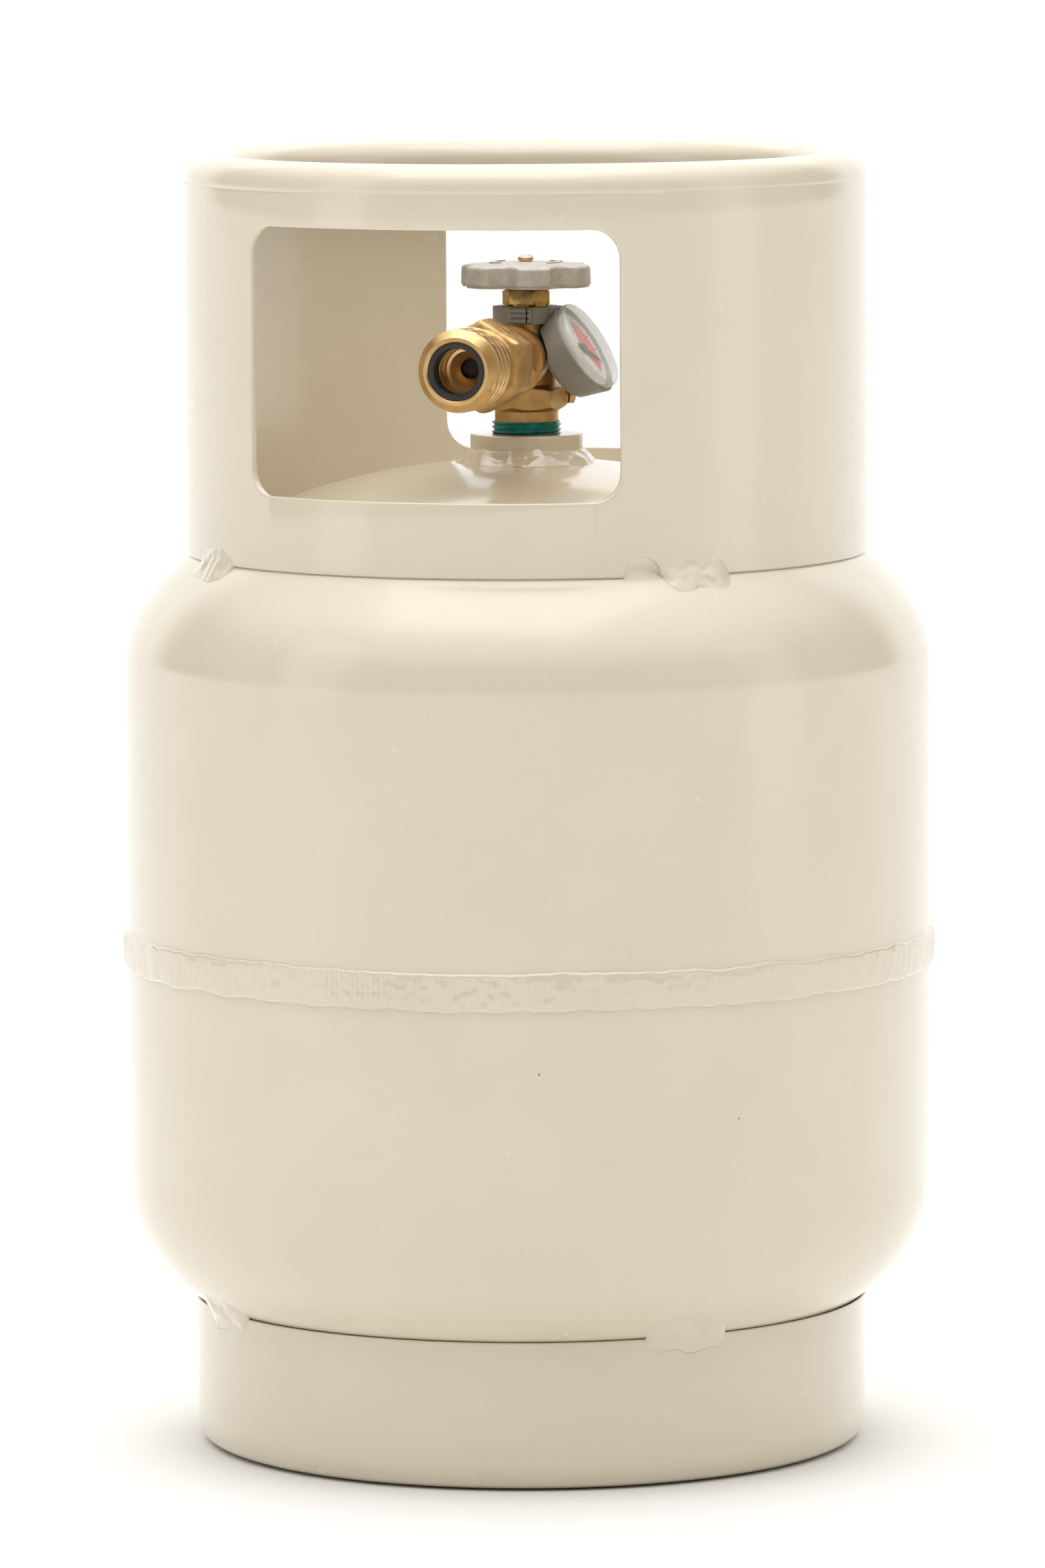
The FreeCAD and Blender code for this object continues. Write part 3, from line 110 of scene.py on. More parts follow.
def make_world():
    """A light tent: bright behind and above the object, softer in front of it."""
    world = bpy.data.worlds.new("tent")
    bpy.context.scene.world = world
    world.use_nodes = True
    tree = world.node_tree
    tree.nodes.clear()
    n = Nodes(tree)
    direction = n.add("ShaderNodeTexCoord").outputs["Generated"]
    parts = n.add("ShaderNodeSeparateXYZ", Vector=direction)
    back = n.math("MULTIPLY", parts.outputs["X"], -math.sin(VIEW_BEARING))
    back = n.math("ADD", back, n.math("MULTIPLY", parts.outputs["Y"], math.cos(VIEW_BEARING)))
    backdrop = n.ramp(back, [(0.55, (0, 0, 0, 1)), (0.72, (1, 1, 1, 1))])
    above = n.ramp(parts.outputs["Z"], [(0.45, (0, 0, 0, 1)), (0.95, (1, 1, 1, 1))])
    level = n.math("ADD", 0.10, n.math("MULTIPLY", backdrop, 1.05))
    level = n.math("ADD", level, n.math("MULTIPLY", above, 2.0))
    shader = n.add("ShaderNodeBackground", Color=(1.0, 0.99, 0.97, 1), Strength=level)
    n.add("ShaderNodeOutputWorld", Surface=shader.outputs[0])


def area_light(name, place, target, size, power, size_y=None):
    data = bpy.data.lights.new(name, "AREA")
    data.shape = "RECTANGLE"
    data.size = size
    data.size_y = size_y or size
    data.energy = power
    light = bpy.data.objects.new(name, data)
    light.location = place
    light.rotation_euler = (Vector(target) - Vector(place)).to_track_quat("-Z", "Y").to_euler()
    bpy.context.scene.collection.objects.link(light)


def make_lights():
    middle = (0, 0, 0.3)
    area_light("overhead", bearing(VIEW_BEARING - 0.35, 0.25, 1.7), (0, 0, 0.35), 1.2, 5)
    area_light("left_box", bearing(VIEW_BEARING - 1.1, 2.0, 0.9), middle, 0.7, 3.0, 1.6)
    area_light("right_box", bearing(VIEW_BEARING + 1.25, 2.0, 0.8), middle, 0.7, 2.0, 1.6)


# ------------------------------------------------------------------ node helpers

class Nodes:
    """Short calls for building a node tree."""

    def __init__(self, tree):
        self.tree = tree

    def add(self, kind, **inputs):
        node = self.tree.nodes.new(kind)
        for name, value in inputs.items():
            self.put(node.inputs[name.replace("_", " ")], value)
        return node

    def put(self, socket, value):
        if isinstance(value, bpy.types.NodeSocket):
            self.tree.links.new(value, socket)
        else:
            socket.default_value = value

    def math(self, operation, a, b=0.0):
        node = self.tree.nodes.new("ShaderNodeMath")
        node.operation = operation
        self.put(node.inputs[0], a)
        self.put(node.inputs[1], b)
        return node.outputs[0]

    def ramp(self, factor, stops):
        node = self.tree.nodes.new("ShaderNodeValToRGB")
        self.put(node.inputs[0], factor)
        elements = node.color_ramp.elements
        while len(elements) < len(stops):
            elements.new(0.5)
        for element, (place, colour) in zip(elements, stops):
            element.position = place
            element.color = colour
        return node.outputs[0]

    def noise(self, scale, detail=2.0, roughness=0.5, stretch=None):
        place = self.add("ShaderNodeTexCoord").outputs["Object"]
        if stretch:
            place = self.add("ShaderNodeMapping", Vector=place, Scale=stretch).outputs[0]
        return self.add("ShaderNodeTexNoise", Vector=place, Scale=scale, Detail=detail,
                        Roughness=roughness).outputs[0]

    def blend(self, factor, a, b):
        node = self.tree.nodes.new("ShaderNodeMix")
        node.data_type = "RGBA"
        self.put(node.inputs[0], factor)
        self.put(node.inputs[6], a)
        self.put(node.inputs[7], b)
        return node.outputs[2]

    def bump(self, height, distance, under=None):
        node = self.add("ShaderNodeBump", Height=height, Distance=distance, Strength=1.0)
        if under:
            self.put(node.inputs["Normal"], under)
        return node.outputs[0]


def rgba(colour):
    return (*colour, 1.0)


def new_material(name, colour, **settings):
    """A principled material. settings are its constant sockets, with _ for spaces."""
    material = bpy.data.materials.new(name)
    material.use_nodes = True
    shader = material.node_tree.nodes["Principled BSDF"]
    shader.inputs["Base Color"].default_value = rgba(colour)
    for key, value in settings.items():
        shader.inputs[key.replace("_", " ").title().replace("Ior", "IOR")].default_value = value
    return material


def shader_of(material):
    return material.node_tree.nodes["Principled BSDF"], Nodes(material.node_tree)


def mottled(n, shader, low, high, scale, detail=3.0):
    """Base colour that drifts between two colours."""
    factor = n.ramp(n.noise(scale, detail), [(0.3, (0, 0, 0, 1)), (0.7, (1, 1, 1, 1))])
    colour = n.blend(factor, rgba(low), rgba(high))
    n.put(shader.inputs["Base Color"], colour)
    return colour


def uneven_roughness(n, shader, low, high, scale, detail=2.0):
    """Roughness that drifts between two values."""
    level = n.ramp(n.noise(scale, detail), [(0.3, rgba((low,) * 3)), (0.7, rgba((high,) * 3))])
    n.put(shader.inputs["Roughness"], level)


# ------------------------------------------------------------------ materials

def paint_material(name, peel, grain, roughness):
    """Thick cream enamel: orange peel, fine grain and a few specks of dust under the gloss."""
    material = new_material(name, (0.75, 0.67, 0.52), coat_weight=0.9, coat_roughness=0.12)
    shader, n = shader_of(material)
    base = n.blend(n.noise(25, 2.0), rgba((0.725, 0.645, 0.50)), rgba((0.775, 0.70, 0.555)))
    place = n.add("ShaderNodeTexCoord").outputs["Object"]
    cells = n.add("ShaderNodeTexVoronoi", Vector=place, Scale=34.0)
    lot = n.add("ShaderNodeSeparateColor", Color=cells.outputs["Color"]).outputs[0]
    near = n.math("LESS_THAN", cells.outputs["Distance"], 0.016)
    few = n.math("GREATER_THAN", lot, 0.72)
    speck = n.math("MULTIPLY", near, few)
    n.put(shader.inputs["Base Color"], n.blend(speck, base, rgba((0.30, 0.26, 0.20))))
    n.put(shader.inputs["Roughness"], n.math("ADD", roughness, n.math("MULTIPLY", n.noise(60, 1.0), 0.05)))
    peeled = n.bump(n.noise(420, 2.0), peel * MM)
    n.put(shader.inputs["Normal"], n.bump(n.noise(900, 1.0), grain * MM, under=peeled))
    return material


def brass_material(name, low, high, roughness, grain_scale, grain_depth, stain=0.0, stretch=None):
    """Brass with a drifting tone, a grain of its own scale and some darker staining."""
    material = new_material(name, low, metallic=1.0)
    shader, n = shader_of(material)
    base = mottled(n, shader, low, high, 220)
    if stain:
        dark = n.ramp(n.noise(130, 4.0, 0.65), [(0.52, (0, 0, 0, 1)), (0.7, (1, 1, 1, 1))])
        base = n.blend(n.math("MULTIPLY", dark, stain), base, rgba((0.20, 0.125, 0.045)))
        n.put(shader.inputs["Base Color"], base)
    uneven_roughness(n, shader, roughness - 0.06, roughness + 0.08, 300, 3.0)
    grain = n.noise(grain_scale, 4.0, 0.6, stretch)
    n.put(shader.inputs["Normal"], n.bump(grain, grain_depth * MM))
    return material


def plastic_material(name, low, high, roughness, depth=0.02, scale=1500):
    """Plastic or ink: a slightly drifting tone and a fine moulded grain. depth is in millimetres."""
    material = new_material(name, low)
    shader, n = shader_of(material)
    mottled(n, shader, low, high, 90)
    uneven_roughness(n, shader, roughness, roughness + 0.08, 200)
    n.put(shader.inputs["Normal"], n.bump(n.noise(scale, 2.0), depth * MM))
    return material


def clear_material(name, colour, alpha):
    """Clear moulding seen as a thin skin: mostly see-through, with a faint haze and its own gloss."""
    material = new_material(name, colour, alpha=alpha)
    shader, n = shader_of(material)
    haze = n.ramp(n.noise(120, 3.0), [(0.35, rgba((0.05,) * 3)), (0.75, rgba((0.14,) * 3))])
    n.put(shader.inputs["Roughness"], haze)
    mottled(n, shader, tuple(c * 0.97 for c in colour), colour, 150)
    return material


def sealant_material():
    """Teal compound smeared over the thread, rubbed off its crests and off one side."""
    material = new_material("teal_sealant", (0.006, 0.24, 0.22), coat_weight=0.25)
    shader, n = shader_of(material)
    teal = mottled(n, shader, (0.004, 0.17, 0.165), (0.012, 0.30, 0.27), 260)
    place = n.add("ShaderNodeSeparateXYZ", Vector=n.add("ShaderNodeTexCoord").outputs["Object"])
    side = n.math("ADD", n.math("MULTIPLY", place.outputs["X"], 70.0),
                  n.math("MULTIPLY", n.math("SUBTRACT", place.outputs["Z"], 0.3885), 260.0))
    bare = n.ramp(n.math("ADD", side, n.math("MULTIPLY", n.noise(330, 3.0), 0.7)),
                  [(1.62, (0, 0, 0, 1)), (1.68, (1, 1, 1, 1))])
    n.put(shader.inputs["Base Color"], n.blend(bare, teal, rgba((0.55, 0.37, 0.16))))
    n.put(shader.inputs["Metallic"], n.math("MULTIPLY", bare, 0.95))
    uneven_roughness(n, shader, 0.28, 0.45, 500)
    n.put(shader.inputs["Normal"], n.bump(n.noise(700, 3.0), 0.08 * MM))
    return material


def make_materials():
    brass_low, brass_high = (0.52, 0.315, 0.12), (0.66, 0.43, 0.19)
    return {
        "paint": paint_material("cream_paint", 0.009, 0.0015, 0.24),
        "paint_wet": paint_material("cream_paint_thick", 0.02, 0.002, 0.13),
        "paint_cast": paint_material("cream_paint_on_forging", 0.02, 0.06, 0.34),
        "forged": brass_material("forged_brass", brass_low, brass_high, 0.42, 1700, 0.10, stain=0.25),
        "turned": brass_material("turned_brass", (0.66, 0.43, 0.19), (0.74, 0.50, 0.24), 0.34, 900, 0.004,
                                 stain=0.06),
        "stained": brass_material("stained_brass", (0.44, 0.29, 0.09), (0.60, 0.42, 0.15), 0.3, 700, 0.05,
                                  stain=0.75),
        "copper": brass_material("copper_plate", (0.80, 0.45, 0.28), (0.88, 0.55, 0.36), 0.2, 800, 0.03),
        "steel": brass_material("bright_steel", (0.50, 0.50, 0.50), (0.60, 0.60, 0.59), 0.3, 900, 0.01),
        "tube": brass_material("tube_aluminium", (0.68, 0.68, 0.67), (0.75, 0.75, 0.74), 0.35, 900, 0.01,
                               stretch=(1, 1, 0.05)),
        "wheel": cast_material(),
        "grey": plastic_material("grey_plastic", (0.29, 0.285, 0.265), (0.32, 0.315, 0.295), 0.42),
        "rubber": plastic_material("black_rubber", (0.022, 0.021, 0.020), (0.035, 0.033, 0.031), 0.5, 0.03),
        "dial": plastic_material("dial_white", (0.80, 0.79, 0.77), (0.86, 0.85, 0.83), 0.35, 0.004),
        "ink": plastic_material("ink_black", (0.02, 0.02, 0.02), (0.035, 0.035, 0.035), 0.4, 0.004),
        "red": plastic_material("ink_red", (0.78, 0.13, 0.12), (0.84, 0.18, 0.16), 0.4, 0.004),
        "yellow": plastic_material("ink_yellow", (0.85, 0.50, 0.03), (0.9, 0.56, 0.05), 0.4, 0.004),
        "green": plastic_material("ink_green", (0.12, 0.50, 0.10), (0.16, 0.58, 0.13), 0.4, 0.004),
        "white": plastic_material("white_plastic", (0.72, 0.71, 0.68), (0.78, 0.77, 0.74), 0.45),
        "foam": plastic_material("float_foam", (0.03, 0.03, 0.03), (0.05, 0.05, 0.05), 0.8, 0.15, 600),
        "lens": clear_material("clear_lens", (0.86, 0.88, 0.87), 0.16),
        "lens_rim": clear_material("clear_lens_rim", (0.72, 0.74, 0.72), 0.6),
        "sealant": sealant_material(),
    }


def cast_material():
    """Fine die-cast skin of the handwheel: warm grey with pinhead grain and pale glints."""
    material = new_material("cast_handwheel", (0.52, 0.48, 0.43), metallic=0.35)
    shader, n = shader_of(material)
    base = mottled(n, shader, (0.47, 0.435, 0.385), (0.58, 0.54, 0.485), 260)
    pores = n.ramp(n.noise(2400, 2.0), [(0.36, (1, 1, 1, 1)), (0.5, (0, 0, 0, 1))])
    pitted = n.blend(n.math("MULTIPLY", pores, 0.35), base, rgba((0.30, 0.27, 0.23)))
    n.put(shader.inputs["Base Color"], pitted)
    uneven_roughness(n, shader, 0.38, 0.55, 1800)
    n.put(shader.inputs["Normal"], n.bump(n.noise(2000, 3.0), 0.10 * MM))
    return material


# ------------------------------------------------------------------ mesh helpers

def new_piece(name, mesh, body, material, replaced=()):
    """Adds a finished mesh as a piece that rides on a body."""
    piece = bpy.data.objects.new(name, mesh)
    bpy.context.scene.collection.objects.link(piece)
    mesh.materials.append(MATERIALS[material])
    for polygon in mesh.polygons:
        polygon.use_smooth = True
    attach(piece, body)
    if replaced:
        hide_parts(*replaced)


def ring_mesh(name, rows, closed=True):
    """A mesh from rows of points, each row a closed loop. closed joins the last row to the first."""
    mesh = bpy.data.meshes.new(name)
    count = len(rows[0])
    points = [p for row in rows for p in row]
    faces = []
    last = len(rows) if closed else len(rows) - 1
    for i in range(last):
        for k in range(count):
            a, b = i * count, ((i + 1) % len(rows)) * count
            k2 = (k + 1) % count
            faces.append((a + k, a + k2, b + k2, b + k))
    mesh.from_pydata(points, [], faces)
    fix_normals(mesh)
    return mesh


def fix_normals(mesh):
    sheet = bmesh.new()
    sheet.from_mesh(mesh)
    bmesh.ops.remove_doubles(sheet, verts=sheet.verts, dist=1e-7)
    bmesh.ops.dissolve_degenerate(sheet, edges=sheet.edges, dist=1e-7)
    bmesh.ops.recalc_face_normals(sheet, faces=sheet.faces)
    sheet.to_mesh(mesh)
    sheet.free()


def rounded(profile, radius, steps=5):
    """A closed (r, z) profile with its corners rounded. radius is one size, or one for each point."""
    count = len(profile)
    sizes = [radius] * count if isinstance(radius, (int, float)) else radius
    result = []
    for i, point in enumerate(profile):
        here = Vector(point)
        before, after = Vector(profile[i - 1]), Vector(profile[(i + 1) % count])
        into, out = (before - here), (after - here)
        angle = into.angle(out) if into.length > 0 and out.length > 0 else math.pi
        if sizes[i] <= 0 or angle > math.radians(176):
            result.append(tuple(here))
            continue
        reach = min(sizes[i] / math.tan(angle / 2), into.length * 0.49, out.length * 0.49)
        a, b = here + into.normalized() * reach, here + out.normalized() * reach
        for s in range(steps + 1):
            t = s / steps
            result.append(tuple(a * (1 - t) ** 2 + here * 2 * t * (1 - t) + b * t ** 2))
    return result


def densified(profile, step):
    """The profile with points added so that no stretch is longer than step."""
    result = []
    for i, point in enumerate(profile):
        a, b = Vector(point), Vector(profile[(i + 1) % len(profile)])
        parts = max(1, math.ceil((b - a).length / step))
        result += [tuple(a.lerp(b, s / parts)) for s in range(parts)]
    return result


def turned_mesh(name, profile, segments, shift=None):
    """Turns a closed (r, z) profile about Z. shift(r, z, angle) may move each point to a new (r, z)."""
    rows = []
    for r, z in profile:
        row = []
        for k in range(segments):
            angle = TAU * k / segments
            r2, z2 = shift(r, z, angle) if shift else (r, z)
            row.append(bearing(angle, r2, z2))
        rows.append(row)
    return ring_mesh(name, rows)


def wobble(angle, z, scale, seed, radius=1.0):
    """Smooth noise that joins up with itself round the axis, about -1 to 1."""
    place = Vector((radius * math.cos(angle) * scale, radius * math.sin(angle) * scale, z * scale + seed))
    return noise.noise(place) * 1.6


def from_cad(node):
    """A copy of a CAD node's mesh, to be worked on."""
    mesh = NODES[node].data.copy()
    mesh.materials.clear()
    fix_normals(mesh)
    return mesh


def scratch_object(name, data):
    scratch = bpy.data.objects.new(name + "_scratch", data)
    bpy.context.scene.collection.objects.link(scratch)
    return scratch


def finished_mesh(scratch):
    """The mesh that a scratch object's modifiers make. The object itself goes."""
    view = bpy.context.evaluated_depsgraph_get()
    mesh = bpy.data.meshes.new_from_object(scratch.evaluated_get(view))
    bpy.data.objects.remove(scratch)
    return mesh


def softened(name, node, voxel, passes, body, material):
    """A CAD node with the soft edges of a casting or a moulding."""
    scratch = scratch_object(name, from_cad(node))
    remesh = scratch.modifiers.new("remesh", "REMESH")
    remesh.mode = "VOXEL"
    remesh.voxel_size = voxel
    smooth = scratch.modifiers.new("smooth", "SMOOTH")
    smooth.iterations = passes
    smooth.factor = 0.5
    new_piece(name, finished_mesh(scratch), body, material, (node,))


def bevelled(name, node, width, body, material):
    """A CAD node with small bevels on its sharp edges, as machining leaves them."""
    scratch = scratch_object(name, from_cad(node))
    bevel = scratch.modifiers.new("bevel", "BEVEL")
    bevel.width = width
    bevel.segments = 2
    bevel.limit_method = "ANGLE"
    bevel.angle_limit = math.radians(35)
    mesh = finished_mesh(scratch)
    new_piece(name, mesh, body, material, (node,))
    sharpen(mesh, 40)


def sharpen(mesh, degrees):
    """Smooth shading, except across edges sharper than an angle."""
    sheet = bmesh.new()
    sheet.from_mesh(mesh)
    for edge in sheet.edges:
        edge.smooth = edge.calc_face_angle(0.0) < math.radians(degrees)
    sheet.to_mesh(mesh)
    sheet.free()


# ------------------------------------------------------------------ vessel

LOWER_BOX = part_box("lower_shell")
UPPER_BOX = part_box("upper_shell")
VESSEL_R = LOWER_BOX[1].x
HEAD = VESSEL_R / 2
WALL = 2.3 * MM
NOISE_R = 0.154                      # where the side's noise is read, so that a lump is as wide as it says
LOW_TANGENT = LOWER_BOX[0].z + HEAD
WELD_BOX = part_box("girth_weld")
WELD_Z = (WELD_BOX[0].z + WELD_BOX[1].z) / 2
HOLE_R = 17.02 * MM
HIGH_TANGENT = UPPER_BOX[1].z - HEAD * math.sqrt(1 - (HOLE_R / VESSEL_R) ** 2)
NECK_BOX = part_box("neck_flange")


def surface_z(r, side):
    """Height of the vessel's outside at a radius, on its upper or lower head."""
    rise = HEAD * math.sqrt(max(0.0, 1 - (r / VESSEL_R) ** 2))
    return HIGH_TANGENT + rise if side > 0 else LOW_TANGENT - rise


def head_profile(side, hole, steps=70):
    """Outside then inside of a head, from its tangent plane to its middle and back."""
    tangent = HIGH_TANGENT if side > 0 else LOW_TANGENT
    points = []
    for radius, depth, order in ((VESSEL_R, HEAD, 1), (VESSEL_R - WALL, HEAD - WALL, -1)):
        end = math.acos(hole / radius)
        arc = [(radius * math.cos(end * k / steps), tangent + side * depth * math.sin(end * k / steps))
               for k in range(steps + 1)]
        points += arc[::order]
    return points


def shell_shift(r, z, angle):
    """The sheet isn't perfectly round: long shallow waves, and a pull towards the girth weld."""
    wave = wobble(angle, z, 5.0, 3.0, NOISE_R) * 0.10 * MM
    pull = 0.12 * MM * math.exp(-((z - WELD_Z) / 0.016) ** 2)
    near = max(0.0, min(1.0, (r - 0.125) / 0.02))
    return r + (wave + pull) * near, z


def make_shells():
    """The two halves of the vessel. Their edges lie under the girth weld, which hides the joint."""
    weld_edge = 1.0 * MM
    for name, side, hole in (("vessel_top", 1, HOLE_R), ("vessel_base", -1, 0.0002)):
        end = WELD_Z + side * weld_edge
        tangent = HIGH_TANGENT if side > 0 else LOW_TANGENT
        steps = 24
        wall_out = [(VESSEL_R, tangent + (end - tangent) * k / steps) for k in range(1, steps + 1)]
        wall_in = [(r - WALL, z) for r, z in wall_out][::-1]
        profile = head_profile(side, hole)
        half = len(profile) // 2
        profile = profile[:half][::-1] + wall_out + wall_in + profile[half:][::-1]
        mesh = turned_mesh(name, profile, 420, shell_shift)
        node = "upper_shell" if side > 0 else "lower_shell"
        new_piece(name, mesh, "tank", "paint", (node,))


def weld_height(share):
    """Section of a weld run: 0 at its edges, flat-topped in the middle."""
    return (1 - abs(share) ** 5) ** 0.55


def make_girth_weld():
    """A wide flattened run whose edges wander, with ripples and low lumps under the paint."""
    half, proud = 7.2 * MM, 1.7 * MM
    ripple_step = 2.1 * MM
    steps, segments = 26, 1500
    rows = []

    def rough(angle, z, scale, seed):
        return wobble(angle, z, scale, seed, NOISE_R)

    for i in range(steps + 1):
        share = 2 * i / steps - 1
        row = []
        for k in range(segments):
            angle = TAU * k / segments
            top = half * (1 + 0.10 * rough(angle, 0, 60, 1.0) + 0.05 * rough(angle, 0, 190, 5.0))
            low = half * (1 + 0.12 * rough(angle, 0, 75, 9.0) + 0.05 * rough(angle, 0, 170, 7.0))
            reach = top if share > 0 else low
            z = WELD_Z + share * reach
            ripple = 0.10 * math.cos(angle * NOISE_R / ripple_step * TAU + 2.2 * share * share)
            lumps = 0.20 * rough(angle, z, 110, 2.0) + 0.12 * rough(angle, z, 330, 4.0)
            rim = 0.28 * math.exp(-((abs(share) - 0.86) / 0.07) ** 2)
            front = 1 + 0.8 * math.exp(-((math.remainder(angle - 0.15, TAU)) / 0.45) ** 2)
            height = proud * weld_height(share) * (0.72 + 0.5 * (ripple + lumps) * front + rim * 0.6)
            row.append(bearing(angle, VESSEL_R + 0.10 * MM + height, z))
        rows.append(row)
    under = [[bearing(TAU * k / segments, VESSEL_R - 1.2 * MM, WELD_Z + s * half) for k in range(segments)]
             for s in (1, -1)]
    mesh = ring_mesh("girth_weld_run", rows + under)
    new_piece("girth_weld_run", mesh, "tank", "paint_wet", ("girth_weld",))


def make_neck():
    top, low = NECK_BOX[1].z, surface_z(0.0215, 1)
    outer = NECK_BOX[1].x
    bore = 13.05 * MM
    base = NECK_BOX[0].z
    profile = [(bore, top), (outer, top), (outer, low - 1 * MM), (HOLE_R - 0.02 * MM, low - 1 * MM),
               (HOLE_R - 0.02 * MM, base), (bore - 0.5 * MM, base)]
    profile = densified(rounded(profile, [0.6 * MM, 0.9 * MM, 0, 0, 0.3 * MM, 0.3 * MM]), 0.7 * MM)

    def shift(r, z, angle):
        rough = wobble(angle, z, 700, 4.0, 0.02) * 0.05 * MM if r > 0.02 else 0
        return r + rough, z

    mesh = turned_mesh("neck_ring", profile, 300, shift)
    new_piece("neck_ring", mesh, "tank", "paint_cast", ("neck_flange",))


def make_neck_weld():
    """The fillet round the neck: glossy, lumpy and uneven in its reach."""
    rows = []
    steps, segments = 22, 420
    inner, noise_r = 21.4 * MM, 0.024
    for i in range(steps + 1):
        t = i / steps
        row = []
        for k in range(segments):
            angle = TAU * k / segments
            wander = 1.6 * wobble(angle, 0, 95, 2.0, noise_r)
            foot = (26.9 + wander + 0.3 * wobble(angle, 0, 260, 6.0, noise_r)) * MM
            crest = (5.2 + 0.8 * wobble(angle, 0, 130, 8.0, noise_r)) * MM
            r = inner + (foot - inner) * t
            bow = math.sin(math.pi * t) * (0.15 + 0.6 * wobble(angle, t * 0.01, 120, 3.0, noise_r)) * MM
            lump = wobble(angle, t * 0.012, 260, 5.0, noise_r) * 0.25 * MM * math.sin(math.pi * t)
            z = surface_z(r, 1) + crest * (1 - t) ** 1.15 - 0.05 * MM * t + bow + lump
            row.append(bearing(angle, r + bow, z))
        rows.append(row)
    under = [[bearing(TAU * k / segments, r, surface_z(r, 1) - 0.6 * MM) for k in range(segments)]
             for r in (26.0 * MM, inner)]
    mesh = ring_mesh("neck_fillet", rows + under)
    new_piece("neck_fillet", mesh, "tank", "paint_wet", ("neck_weld",))


# ------------------------------------------------------------------ collar and foot ring

COLLAR_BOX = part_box("collar")
COLLAR_R = 130.0 * MM
COLLAR_SHEET = 2.6 * MM
RIM_ROLL = 9.5 * MM
RIM_Z = COLLAR_BOX[1].z - RIM_ROLL
RING_NOISE_R = 0.13                  # where the noise of the collar, the foot ring and their welds is read
SEAM_START = -math.radians(90)       # bearing at which the sheet is unrolled
# Each window: middle and half width in degrees, bottom and top in millimetres.
WINDOWS = ((0.0, 33.9, 369.5, 470.0), (180.0, 32.4, 371.5, 470.0))
WINDOW_CORNER = 11.0 * MM
NOTCHES = (37.5, 217.5)              # bearings in degrees
NOTCH_R = 7.3 * MM
COLLAR_WELDS = (-46, 47.2, 134, 226)
FOOT_WELDS = (45, 135, 225, 315)
FOOT_R = 129.2 * MM


def window_loop(middle, half, low, high):
    """The window's outline on the unrolled sheet, as (distance round, height)."""
    x_mid, reach = math.radians(middle) * COLLAR_R, math.radians(half) * COLLAR_R
    low, high, corner = low * MM, high * MM, WINDOW_CORNER
    loop = []
    for cx, cz, start in ((reach - corner, high - corner, 0), (corner - reach, high - corner, 90),
                          (corner - reach, low + corner, 180), (reach - corner, low + corner, 270)):
        for s in range(9):
            a = math.radians(start + 90 * s / 8)
            loop.append((x_mid + cx + corner * math.cos(a), cz + corner * math.sin(a)))
    return loop


def sheet_loop():
    """Outline of the collar's unrolled sheet, with its notches in the bottom edge."""
    around = TAU * COLLAR_R
    left = SEAM_START * COLLAR_R
    low = COLLAR_BOX[0].z
    loop = [(left, RIM_Z), (left, low)]
    for notch in NOTCHES:
        x = math.radians(notch) * COLLAR_R
        loop += [(x - NOTCH_R * math.cos(math.pi * s / 12), low + NOTCH_R * math.sin(math.pi * s / 12))
                 for s in range(13)]
    return loop + [(left + around, low), (left + around, RIM_Z)]


def sheet_curve(loops, edge):
    """A flat sheet with holes and rounded edges, as a filled curve made into a mesh."""
    data = bpy.data.curves.new("sheet", "CURVE")
    data.dimensions = "2D"
    data.fill_mode = "BOTH"
    data.extrude = COLLAR_SHEET / 2 - edge
    data.bevel_depth = edge
    data.bevel_resolution = 2
    data.offset = -edge
    for loop in loops:
        spline = data.splines.new("POLY")
        spline.points.add(len(loop) - 1)
        for point, (x, z) in zip(spline.points, loop):
            point.co = (x, z, 0, 1)
        spline.use_cyclic_u = True
    return finished_mesh(scratch_object("sheet", data))


def make_collar():
    """The rolled sheet with its windows, and the rim that curls inwards along its top."""
    edge = 0.7 * MM
    mesh = sheet_curve([sheet_loop()] + [window_loop(*w) for w in WINDOWS], edge)
    sheet = bmesh.new()
    sheet.from_mesh(mesh)
    around = TAU * COLLAR_R
    cuts = 300
    left = SEAM_START * COLLAR_R
    for k in range(1, cuts):
        bmesh.ops.bisect_plane(sheet, geom=sheet.verts[:] + sheet.edges[:] + sheet.faces[:],
                               plane_co=(left + around * k / cuts, 0, 0), plane_no=(1, 0, 0), dist=1e-7)
    middle = COLLAR_R - COLLAR_SHEET / 2
    for vert in sheet.verts:
        x, z, out = vert.co
        vert.co = bearing(x / COLLAR_R, middle + out, z)
    bmesh.ops.remove_doubles(sheet, verts=sheet.verts, dist=1e-6)
    bmesh.ops.recalc_face_normals(sheet, faces=sheet.faces)
    sheet.to_mesh(mesh)
    sheet.free()
    new_piece("guard_sheet", mesh, "tank", "paint", ("collar",))
    sharpen(mesh, 32)
    make_rim()


def make_rim():
    centre = COLLAR_R - RIM_ROLL
    steps = 40
    curl = math.radians(200)
    skirt = 1.5 * MM

    def roll(radius):
        turns = [curl * k / steps for k in range(steps + 1)]
        return [(centre + radius * math.cos(a), RIM_Z + radius * math.sin(a)) for a in turns]

    outer, inner = roll(RIM_ROLL), roll(RIM_ROLL - COLLAR_SHEET)
    profile = [(COLLAR_R, RIM_Z - skirt)] + outer + inner[::-1] + [(COLLAR_R - COLLAR_SHEET, RIM_Z - skirt)]

    def shift(r, z, angle):
        wave = 0.12
        return (r + wobble(angle, z, 12, 6.0, RING_NOISE_R) * wave * MM,
                z + wobble(angle, 0, 9, 2.0, RING_NOISE_R) * wave * MM)

    mesh = turned_mesh("guard_rim", profile, 360, shift)
    new_piece("guard_rim", mesh, "tank", "paint")


